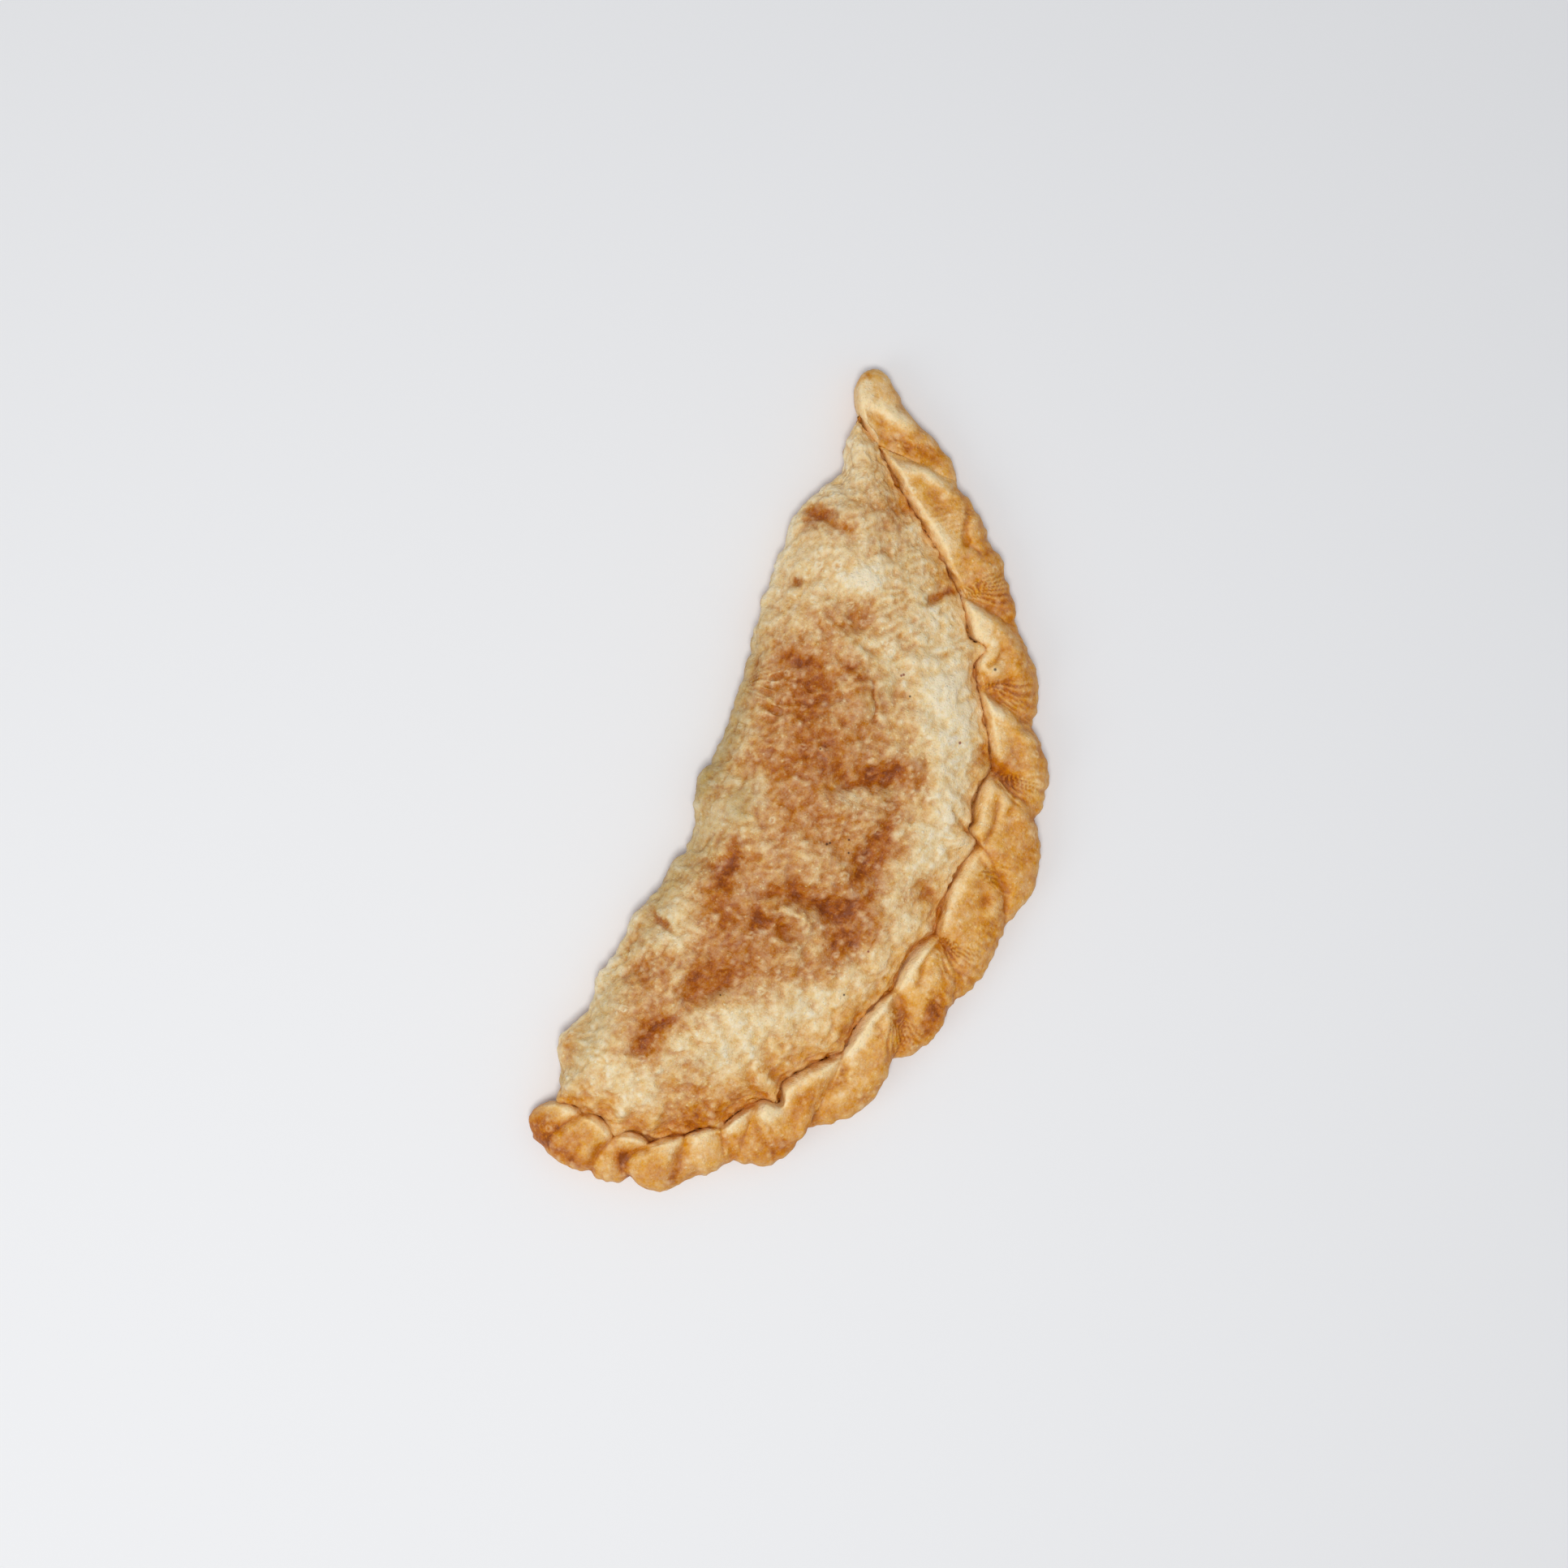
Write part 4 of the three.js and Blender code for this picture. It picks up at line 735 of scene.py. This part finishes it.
# Greyish olive where thin skin lets the dark filling through, mostly along the folded side, and painted
# shade in creases, hollows and tucks: x, y, reaches, turn, amount.
thinSkinAndShadeMarks = [
    (-6, 25.4, 6.5, 3.6, 0, 0.7), (0, 33.8, 15, 3, 2, 0.85), (-30, 33, 12, 3, -4, 0.65),
    (-19, 29, 8, 3, 0, 0.5), (22, 36.4, 12, 2.4, 8, 0.6), (-62, 34.5, 16, 3.4, 0, 0.45),
    (-78, 37.4, 4, 1.6, 0, 0.5), (-6, 35.4, 5, 1.6, 0, 0.5), (42.4, 35, 1.6, 1.2, 0, 0.4),
    (29.4, 6.4, 3.2, 1.4, 28, 0.45), (-58, 8, 5, 2.4, -40, 0.25), (-40, -3, 3, 2, 0, 0.25),
    (24.4, -19, 3, 1, 16, 0.3), (50.4, 8, 1.4, 0.8, 0, 0.5), (-27.6, 4, 1.8, 2.6, 0, 0.4),
    (9.6, -2.8, 2.6, 1.6, -40, 0.35), (-46, 13.6, 3.4, 1.8, -30, 0.35), (2.2, -28.8, 1.6, 2.6, 0, 0.4),
    (22, -25.4, 1.2, 3.2, 0, 0.35), (-50.4, -19.2, 2.4, 0.9, 0, 0.35),
]
# Specks of pepper and char: x, y, radius, and 1 for a reddish one.
specks = [
    (-6, 5.2, 0.28, 0), (-5.5, 4.7, 0.26, 0), (-3.2, 1.2, 0.24, 0), (-5.8, 0.1, 0.24, 0),
    (30.5, 2, 0.26, 0), (-34.2, -11.9, 0.26, 0), (43.9, -12.7, 0.36, 0), (33.8, 5.6, 0.3, 1),
    (34.2, 5.2, 0.3, 1), (26, -12.2, 0.34, 1), (-23.5, -12.8, 0.28, 1), (-55, 21.6, 0.34, 1),
    (-45, 12.6, 0.2, 0), (12, 15, 0.2, 0),
]
# Tone that follows the form: dips and crests (partly browning, partly painted shade), steep sides,
# blisters and the underside, and painted shade in the open gap along the seam and in the cracks of the
# rope.
shading = {
    "smoothing": 0.7, "fineRounds": 6, "broadRounds": 40,
    "fine": 0.6, "fineEnds": (-0.08, 0.10), "broad": 0.16, "broadEnds": (-0.10, 0.12),
    "steep": (0.45, 1.0), "steepTone": 0.14, "blisterTone": 0.10,
    "underSlope": -0.2, "underTone": 0.58,
    "gapShade": 0.34, "gapSize": 9.0, "gapSome": (-0.3, 0.3), "gapReach": 0.6,
    "gapCloses": 0.8, "gapClosesAt": (40, 58), "crackShade": 0.7, "crackMost": 0.24,
    "thinSkinAndShadeOnRope": 0.4, "warmSeam": 0.85, "warmReach": 2,
}
# Sizes of the marks that are bump and colour only.
grain = {"mottle": 3.2, "spots": 1.3, "fleck": 0.5, "dots": 1.25, "paintedGlints": 0.56, "ragged": 0.4}


def meshArray(mesh, name, kind="vertices", width=3, type=np.float64):
    data = getattr(mesh, kind)
    values = np.empty(len(data) * width, type)
    data.foreach_get(name, values)
    return values.reshape(-1, width)


def blisterHeights(points, up):
    # height of the blisters at each point, and how white their thin skin looks there
    rise = np.zeros(len(points))
    white = np.zeros(len(points))
    points = np.stack(asSeen(*points.T), 1)
    places = [list(b) for b in blisters]
    for _ in range(surface["blisters"]):
        size = random.random() ** surface["mostlySmall"]
        x = random.uniform(*surface["alongX"])
        y = random.uniform(*surface["alongY"])
        height = mix(*surface["height"], size) * random.uniform(*surface["uneven"])
        burst = random.random() < surface["burstShare"]
        places.append([x, y, mix(*surface["radius"], size), height, burst])
    order = np.argsort(points[:, 0])
    sortedX = points[order, 0]
    for x, y, radius, height, burst in places:
        near = order[np.searchsorted(sortedX, x - radius):np.searchsorted(sortedX, x + radius)]
        d = np.hypot(points[near, 0] - x, points[near, 1] - y) / radius
        near, d = near[(d < 1) & up[near]], d[(d < 1) & up[near]]
        dome = (1 - d * d) ** surface["domeEdge"]
        if burst:
            dome = (np.exp(-((d - surface["ringAt"]) / surface["ringReach"]) ** 2)
                    - surface["ringDip"] * np.exp(-(d / surface["ringDipReach"]) ** 2))
        rise[near] = np.maximum(rise[near], height * dome)
        white[near] = np.maximum(white[near], np.clip(dome * height / surface["whiteFrom"], 0, 1))
    return rise, white


def onRopeAt(piece):
    flag = np.empty(len(piece.data.vertices), np.float32)
    piece.data.attributes["onRope"].data.foreach_get("value", flag)
    return flag


def wrinkled(piece):
    # lumps, creases and blisters, then the bubbles of the folded side; gives how white it looks
    mesh = piece.data
    points = meshArray(mesh, "co") / mm
    normals = meshArray(mesh, "vector", "vertex_normals")
    flag = onRopeAt(piece)
    up = normals[:, 2] > surface["topSlope"]
    rise = np.zeros(len(points))
    for seed, (size, height) in enumerate(zip(surface["lumpSizes"], surface["lumpHeights"])):
        rise += height * noiseAt(points, size, seed + 1) * surface["lumpScale"]
    for seed, (size, depth) in enumerate(zip(surface["creaseSizes"], surface["creaseDepths"])):
        bend = noiseAt(points, size * surface["creaseBendSize"], 81 + seed)[:, None]
        bent = points + surface["creaseBend"] * size * bend
        some = noiseAt(points, size * surface["creaseSomeSize"], 83 + seed)
        rise -= (depth * smoothBetween(some, *surface["creaseSome"])
                 * np.exp(-(noiseAt(bent, size, 85 + seed) / surface["creaseWidth"]) ** 2))
    rise *= mix(1, surface["ropeShare"], flag)
    dome, white = blisterHeights(points, up)
    resting = smoothBetween(points[:, 2], *surface["nearTable"])
    rise = rise * np.where(up, 1, resting) + dome * mix(1, surface["ropeBlisters"], flag)
    moved = points + normals * rise[:, None]
    for x, y, z, along, upwards, out in body["bubbles"]:
        d = (((points[:, 0] - x) / along) ** 2 + ((points[:, 2] - z) / upwards) ** 2
             + ((points[:, 1] - y) / surface["bubbleDeep"]) ** 2)
        moved[:, 1] += out * np.exp(-d ** surface["bubbleEdge"])
    moved[:, 2] = np.maximum(moved[:, 2], 0)
    mesh.vertices.foreach_set("co", (moved * mm).ravel())
    mesh.update()
    return white


def hollows(piece, rounds):
    # how much lower each point lies than the surface round it, after some smoothing, in mm
    mesh = piece.data
    points = meshArray(mesh, "co") / mm
    normals = meshArray(mesh, "vector", "vertex_normals")
    ends = meshArray(mesh, "vertices", "edges", 2, np.int32)
    count = np.maximum(np.bincount(ends.ravel(), minlength=len(points)), 1)[:, None]
    smooth = points.copy()
    first, second = ends.T
    for _ in range(rounds):
        total = [np.bincount(first, smooth[second, i], len(points))
                 + np.bincount(second, smooth[first, i], len(points)) for i in range(3)]
        smooth = mix(smooth, np.stack(total, 1) / count, shading["smoothing"])
    return ((smooth - points) * normals).sum(1)


def insideLoop(corners, x, y):
    # distance to the edge of a closed outline, plus inside it
    least = np.full(x.shape, 1e9)
    inside = np.zeros(x.shape, bool)
    for (ax, ay), (bx, by) in zip(corners, corners[1:] + corners[:1]):
        dx, dy = bx - ax, by - ay
        t = np.clip(((x - ax) * dx + (y - ay) * dy) / (dx * dx + dy * dy), 0, 1)
        least = np.minimum(least, np.hypot(x - ax - t * dx, y - ay - t * dy))
        inside ^= ((ay > y) != (by > y)) & (x < ax + dx * (y - ay) / (dy if dy else 1e-9))
    return np.where(inside, least, -least)


def paint(piece, name, values):
    layer = piece.data.attributes.get(name) or piece.data.attributes.new(name, "FLOAT", "POINT")
    layer.data.foreach_set("value", np.asarray(values, np.float32))


def browned(piece, white):
    # fried tone (with painted shade in dips and painted light on the rope's lips), warmth, painted shade,
    # blister film and the olive of thin skin and painted shade, as values at each point of the mesh
    points = meshArray(piece.data, "co") / mm
    normals = meshArray(piece.data, "vector", "vertex_normals")
    flag = onRopeAt(piece)
    x, y, z = points.T
    seenX, seenY = asSeen(x, y, z)
    wx, wy = wandered(seenX, seenY)
    flat = np.stack([x, y], -1)
    edge = (insideLoop(bodyBrowning["zone"], wx, wy)
            + bodyBrowning["zoneWander"] * noiseAt(flat, bodyBrowning["zoneWanderSize"], 61))
    bodyTone = (bodyBrowning["even"]
                + bodyBrowning["zoneRise"] * smoothBetween(edge, *bodyBrowning["zoneEdge"])
                + lumpsAt(bodyBrowning["patches"], wx, wy, bodyBrowning["softness"]))
    toRope, s = nearestOn(ropeCurve, x, y)
    beside = np.maximum(np.abs(toRope) - seamOffsetAt(s), 0)
    fromSeam = seamOffsetAt(s) + toRope
    nearKnob = smoothBetween(-x, *bodyBrowning["bandGrows"])
    thinner = bodyBrowning["bandThins"] * smoothBetween(y, *bodyBrowning["bandThinsAt"])
    uneven = bodyBrowning["bandUneven"] * noiseAt(flat, bodyBrowning["bandUnevenSize"], 62)
    reach = mix(*bodyBrowning["bandReach"], nearKnob) * (1 - thinner) * (1 + uneven)
    bodyTone += mix(*bodyBrowning["band"], nearKnob) * np.exp(-(beside / reach) ** 2)
    wx, wy = wandered(seenX, seenY, wander["ropeShare"])
    # Each pleat's lip along the seam is made paler: painted light that the lips catch.
    lip = (smoothBetween(swell(pleatAt(s)[1]), 0.0, ropeBrowning["lipFull"])
           * np.exp(-((fromSeam - ropeBrowning["lipAt"]) / ropeBrowning["lipReach"]) ** 2))
    rim = smoothBetween(fromSeam, ropeBrowning["rimFrom"], ropeBrowning["rimTo"])
    ropeTone = (ropeBrowning["even"]
                + ropeBrowning["patchShare"] * lumpsAt(ropeBrowning["patches"], wx, wy)
                + ropeBrowning["lip"] * lip + ropeBrowning["rim"] * rim)
    fine = hollows(piece, shading["fineRounds"])
    broad = hollows(piece, shading["broadRounds"])
    tone = mix(bodyTone, ropeTone, flag)
    # Dips turn browner and crests paler: partly browning, partly painted shade in the dips.
    tone += (np.clip(fine * shading["fine"], *shading["fineEnds"])
             + np.clip(broad * shading["broad"], *shading["broadEnds"]))
    steep = smoothBetween(1 - normals[:, 2], *shading["steep"])
    tone += shading["steepTone"] * steep - shading["blisterTone"] * white
    under = normals[:, 2] < shading["underSlope"]
    tone = np.where(under, np.maximum(tone, shading["underTone"]), tone)
    # Painted shade: in the open gap along the seam on the body, and in the cracks of the rope.
    gapShade = (shading["gapShade"] * smoothBetween(noiseAt(flat, shading["gapSize"], 63), *shading["gapSome"])
           * (1 - shading["gapCloses"] * smoothBetween(x, *shading["gapClosesAt"])))
    crackShade = np.clip(fine * shading["crackShade"], 0, shading["crackMost"])
    shade = np.where(flag < 0.5, gapShade * np.exp(-(beside / shading["gapReach"]) ** 2), crackShade)
    warm = flag + shading["warmSeam"] * np.exp(-(beside / (reach + shading["warmReach"])) ** 2)
    # Greyish olive of thin skin along the folded side, and painted shade in creases, hollows and tucks.
    thinSkinAndShade = lumpsAt(thinSkinAndShadeMarks, wx, wy) * (1 - shading["thinSkinAndShadeOnRope"] * flag)
    paint(piece, "tone", np.clip(tone, 0, 1))
    paint(piece, "warm", np.clip(warm, 0, 1))
    paint(piece, "shade", np.where(normals[:, 2] > 0, shade, 0))
    paint(piece, "film", white)
    paint(piece, "thinSkinAndShade", np.clip(thinSkinAndShade, 0, 1))


def linearColour(code, alpha=1.0):
    parts = [int(code[i:i + 2], 16) / 255 for i in (1, 3, 5)]
    return [p / 12.92 if p <= 0.04045 else ((p + 0.055) / 1.055) ** 2.4 for p in parts] + [alpha]


def addNode(tree, kind, inputs=None, **settings):
    # inputs holds a value or another node's output for each named or numbered socket
    node = tree.nodes.new(kind)
    for name, value in settings.items():
        setattr(node, name, value)
    for socket, value in (inputs or {}).items():
        if isinstance(value, bpy.types.NodeSocket):
            tree.links.new(value, node.inputs[socket])
        else:
            node.inputs[socket].default_value = value
    return node


# Wheat dough, rolled thin, folded and deep fried: cream where it stayed soft, gold to brown
# where it lay in the hot oil, with a skin of tiny blisters and a thin film of oil on it.
# Its colour also carries painted shade in dips, cracks and the seam gap, and painted glints of oil.
dough = {
    "bodyColours": [
        (0.0, "#f4e5c4"), (0.16, "#efd6a6"), (0.32, "#e5c18a"), (0.46, "#d6a66c"),
        (0.58, "#c88e55"), (0.70, "#bb7737"), (0.84, "#ab5d19"), (1.0, "#87410c"),
    ],
    "ropeColours": [
        (0.0, "#fbe1b0"), (0.16, "#f5cf94"), (0.32, "#ebba73"), (0.46, "#e0a557"),
        (0.58, "#d69242"), (0.70, "#ca7e2e"), (0.84, "#b66517"), (1.0, "#8e460c"),
    ],
    # The shade colour is painted shade; the thin colour is the olive of thin skin and of painted shade.
    "film": "#f2e6cf", "filmShare": 0.16, "shade": "#6b4a24", "shadeShare": 0.75, "thinSkinAndShade": "#c8bd9c",
    "char": "#2a1a10", "pepper": "#8a2c10", "speckShare": 0.85, "speckEdge": (1.3, 0.5),
    "mottle": 0.30, "spots": 0.26, "fleck": 0.30, "cloudRoughness": 0.55, "vivid": 0.3,
    # Pale dots (small blisters) and finer pale dots that are painted glints of oil: their reach, the
    # share of cells that have none, and how much paler they are.
    "dots": (0.42, 0.55, 0.20), "paintedGlints": (0.5, 0.4, 0.16), "leastDot": 0.4, "dotCore": 0.08,
    "raggedReach": 0.45,
    "fleckHeight": 1.3, "spotHeight": 0.9, "dotHeight": 0.8, "bumpStrength": 0.8, "bumpReach": 0.15,
    "roughness": 0.48, "roughnessMottle": 0.3, "specular": 0.26, "ior": 1.46,
    "subsurface": 0.06, "subsurfaceRadius": (0.0025, 0.0012, 0.0005),  # radius in metres
}


def friedDough():
    material = bpy.data.materials.new("wheat dough, deep fried")
    material.use_nodes = True
    tree = material.node_tree
    shader = tree.nodes["Principled BSDF"]
    place = addNode(tree, "ShaderNodeTexCoord").outputs["Object"]

    # Clouds of three sizes, each 0.5 on average, make the tone and the saturation uneven.
    clouds = {}
    details = {"mottle": 3, "spots": 2, "fleck": 2}
    vivid = 1 - 0.5 * len(details) * dough["vivid"]
    tone = addNode(tree, "ShaderNodeAttribute", attribute_name="tone").outputs["Fac"]
    for name, detail in details.items():
        cloud = addNode(tree, "ShaderNodeTexNoise", {
            "Vector": place, "Scale": 1 / (grain[name] * mm), "Detail": detail,
            "Roughness": dough["cloudRoughness"]})
        centred = addNode(tree, "ShaderNodeMath", {0: cloud.outputs[0], 1: 0.5}, operation="SUBTRACT")
        clouds[name] = centred.outputs[0]
        tone = addNode(tree, "ShaderNodeMath", {0: clouds[name], 1: dough[name], 2: tone},
                       operation="MULTIPLY_ADD").outputs[0]
        other = addNode(tree, "ShaderNodeSeparateColor", {"Color": cloud.outputs["Color"]})
        vivid = addNode(tree, "ShaderNodeMath", {0: other.outputs[1], 1: dough["vivid"], 2: vivid},
                        operation="MULTIPLY_ADD").outputs[0]

    # Pale dots with ragged outlines stand out a little: small blisters, and painted glints of oil.
    relief = 0.0
    cloud = addNode(tree, "ShaderNodeTexNoise", {
        "Vector": place, "Scale": 1 / (grain["ragged"] * mm), "Detail": 1})
    ragged = addNode(tree, "ShaderNodeVectorMath", {
        0: cloud.outputs["Color"], 1: (dough["raggedReach"] * mm,) * 3, 2: place},
        operation="MULTIPLY_ADD").outputs[0]
    for name in ("dots", "paintedGlints"):
        radius, without, paler = dough[name]
        least = radius * dough["leastDot"]
        cells = addNode(tree, "ShaderNodeTexVoronoi", {
            "Vector": ragged, "Scale": 1 / (grain[name] * mm)})
        lot = addNode(tree, "ShaderNodeSeparateColor", {"Color": cells.outputs["Color"]})
        reach = addNode(tree, "ShaderNodeMath", {0: lot.outputs[1], 1: radius - least, 2: least},
                        operation="MULTIPLY_ADD")
        near = addNode(tree, "ShaderNodeMapRange", {
            "Value": cells.outputs["Distance"], "From Min": reach.outputs[0],
            "From Max": dough["dotCore"], "To Min": 0.0, "To Max": 1.0})
        taken = addNode(tree, "ShaderNodeMath", {0: lot.outputs[0], 1: without},
                        operation="GREATER_THAN")
        dot = addNode(tree, "ShaderNodeMath", {0: near.outputs["Result"], 1: taken.outputs[0]},
                      operation="MULTIPLY").outputs[0]
        tone = addNode(tree, "ShaderNodeMath", {0: dot, 1: -paler, 2: tone},
                       operation="MULTIPLY_ADD").outputs[0]
        relief = addNode(tree, "ShaderNodeMath", {0: dot, 1: dough["dotHeight"], 2: relief},
                         operation="MULTIPLY_ADD").outputs[0]

    fried = []
    for part in ("bodyColours", "ropeColours"):
        ramp = addNode(tree, "ShaderNodeValToRGB", {"Fac": tone})
        elements = ramp.color_ramp.elements
        while len(elements) < len(dough[part]):
            elements.new(0.5)
        for element, (position, code) in zip(elements, dough[part]):
            element.position = position
            element.color = linearColour(code)
        fried.append(ramp.outputs["Color"])
    warm = addNode(tree, "ShaderNodeAttribute", attribute_name="warm").outputs["Fac"]
    colour = addNode(tree, "ShaderNodeMix", {"Factor": warm, "A": fried[0], "B": fried[1]},
                     data_type="RGBA").outputs["Result"]
    # Greyish olive: thin skin along the folded side, and painted shade in creases, hollows and tucks.
    thinSkinAndShade = addNode(tree, "ShaderNodeAttribute", attribute_name="thinSkinAndShade").outputs["Fac"]
    colour = addNode(tree, "ShaderNodeMix", {
        "Factor": thinSkinAndShade, "A": colour, "B": linearColour(dough["thinSkinAndShade"])},
        data_type="RGBA", blend_type="MULTIPLY").outputs["Result"]
    colour = addNode(tree, "ShaderNodeHueSaturation", {"Saturation": vivid, "Color": colour}).outputs[0]
    # film whitens the blisters; shade mixes in painted shade along the seam gap and in the rope's cracks.
    for layer in ("film", "shade"):
        amount = addNode(tree, "ShaderNodeAttribute", attribute_name=layer).outputs["Fac"]
        factor = addNode(tree, "ShaderNodeMath", {0: amount, 1: dough[layer + "Share"]},
                         operation="MULTIPLY")
        colour = addNode(tree, "ShaderNodeMix", {
            "Factor": factor.outputs[0], "A": colour, "B": linearColour(dough[layer])},
            data_type="RGBA").outputs["Result"]

    # Specks are listed where they are seen, so each place moves along the line of sight first.
    across = addNode(tree, "ShaderNodeVectorMath", {0: place, 1: (1, 0, seen["x"])},
                     operation="DOT_PRODUCT")
    upward = addNode(tree, "ShaderNodeVectorMath", {0: place, 1: (0, 1, seen["y"])},
                     operation="DOT_PRODUCT")
    flat = addNode(tree, "ShaderNodeCombineXYZ", {
        0: across.outputs["Value"], 1: upward.outputs["Value"]}).outputs[0]
    outer, inner = dough["speckEdge"]
    for x, y, radius, red in specks:
        x, y = x + seen["x"] * seen["level"], y + seen["y"] * seen["level"]
        away = addNode(tree, "ShaderNodeVectorMath", {0: flat, 1: (x * mm, y * mm, 0)},
                       operation="DISTANCE")
        spot = addNode(tree, "ShaderNodeMapRange", {
            "Value": away.outputs["Value"], "From Min": radius * outer * mm,
            "From Max": radius * inner * mm, "To Min": 0.0, "To Max": dough["speckShare"]})
        tint = linearColour(dough["pepper" if red else "char"])
        colour = addNode(tree, "ShaderNodeMix", {
            "Factor": spot.outputs["Result"], "A": colour, "B": tint},
            data_type="RGBA").outputs["Result"]

    height = addNode(tree, "ShaderNodeMath", {
        0: clouds["fleck"], 1: dough["fleckHeight"], 2: relief}, operation="MULTIPLY_ADD")
    height = addNode(tree, "ShaderNodeMath", {
        0: clouds["spots"], 1: dough["spotHeight"], 2: height.outputs[0]}, operation="MULTIPLY_ADD")
    bump = addNode(tree, "ShaderNodeBump", {
        "Strength": dough["bumpStrength"], "Distance": dough["bumpReach"] * mm,
        "Height": height.outputs[0]})
    rough = addNode(tree, "ShaderNodeMath", {
        0: clouds["mottle"], 1: dough["roughnessMottle"], 2: dough["roughness"]},
        operation="MULTIPLY_ADD")
    tree.links.new(colour, shader.inputs["Base Color"])
    tree.links.new(bump.outputs[0], shader.inputs["Normal"])
    tree.links.new(rough.outputs[0], shader.inputs["Roughness"])
    shader.inputs["IOR"].default_value = dough["ior"]
    shader.inputs["Specular IOR Level"].default_value = dough["specular"]
    shader.inputs["Subsurface Weight"].default_value = dough["subsurface"]
    shader.inputs["Subsurface Radius"].default_value = dough["subsurfaceRadius"]
    shader.inputs["Subsurface Scale"].default_value = 1.0
    return material


film = wrinkled(pasty)
browned(pasty, film)
pasty.data.materials.clear()
pasty.data.materials.append(friedDough())
pasty.data.polygons.foreach_set("use_smooth", [True] * len(pasty.data.polygons))
pasty.data.update()
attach(pasty, "root")
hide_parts("khuushuur")
print("khuushuur: dough wrinkled and browned")


# The photograph looks almost straight down. ahead is how far the tip is turned from the
# picture's right, width what the picture spans at the pasty's middle height.
view = {"ahead": 65.4, "tilt": 5, "aim": (1.9, 19.0, 5.0), "width": 343.9, "lens": 60, "sensor": 36}
studio = {
    "table": "#f1f2f4", "tableRoughness": 0.7, "tableDrop": 0.05, "tableReach": 3.0,  # reach in metres
    "world": "#f4f7ff", "worldStrength": 0.38,
    "lamps": [  # to the picture's right, up and above the table, in metres; size; watts; colour
        ("highSoftbox", (-0.10, -0.17, 0.95), 0.30, 4.9, "#fffdf8"),
        ("lowSoftbox", (-0.60, -0.36, 0.50), 0.50, 0.9, "#ffffff"),
    ],
}


def pictureAxes():
    turn = math.radians(view["ahead"])
    return Vector((math.cos(turn), -math.sin(turn), 0)), Vector((math.sin(turn), math.cos(turn), 0))


def setCamera():
    right, up = pictureAxes()
    tilt = math.radians(view["tilt"])
    back = Vector((0, 0, 1)) * math.cos(tilt) - right * math.sin(tilt)
    distance = view["width"] * mm / 2 * view["lens"] / (view["sensor"] / 2)
    data = bpy.data.cameras.new("topCamera")
    data.lens = view["lens"]
    data.sensor_width = view["sensor"]
    camera = bpy.data.objects.new("topCamera", data)
    bpy.context.scene.collection.objects.link(camera)
    camera.location = Vector(view["aim"]) * mm + back * distance
    across = up.cross(back)
    camera.rotation_euler = Matrix((across, up, back)).transposed().to_euler()
    bpy.context.scene.camera = camera


def setStudio():
    right, up = pictureAxes()
    middle = Vector(view["aim"]) * mm
    for name, (toRight, toTop, height), size, watts, code in studio["lamps"]:
        lamp = bpy.data.lights.new(name, "AREA")
        lamp.shape = "DISK"
        lamp.size = size
        lamp.energy = watts
        lamp.color = linearColour(code)[:3]
        holder = bpy.data.objects.new(name, lamp)
        bpy.context.scene.collection.objects.link(holder)
        holder.location = middle + right * toRight + up * toTop + Vector((0, 0, height))
        holder.rotation_euler = (holder.location - middle).to_track_quat("Z", "Y").to_euler()
    world = bpy.data.worlds.new("paleRoom")
    world.use_nodes = True
    sky = world.node_tree.nodes["Background"]
    sky.inputs["Color"].default_value = linearColour(studio["world"])
    sky.inputs["Strength"].default_value = studio["worldStrength"]
    bpy.context.scene.world = world
    mesh = bpy.data.meshes.new("tableTop")
    reach = studio["tableReach"]
    mesh.from_pydata([(-reach, -reach, 0), (reach, -reach, 0), (reach, reach, 0), (-reach, reach, 0)],
                     [], [(0, 1, 2, 3)])
    table = bpy.data.objects.new("tableTop", mesh)
    table.location.z = -studio["tableDrop"] * mm
    bpy.context.scene.collection.objects.link(table)
    paper = bpy.data.materials.new("matt white card")
    paper.use_nodes = True
    card = paper.node_tree.nodes["Principled BSDF"]
    card.inputs["Base Color"].default_value = linearColour(studio["table"])
    card.inputs["Roughness"].default_value = studio["tableRoughness"]
    mesh.materials.append(paper)


setCamera()
setStudio()
bpy.context.scene.view_settings.view_transform = "Standard"
print("khuushuur: camera and lights set")
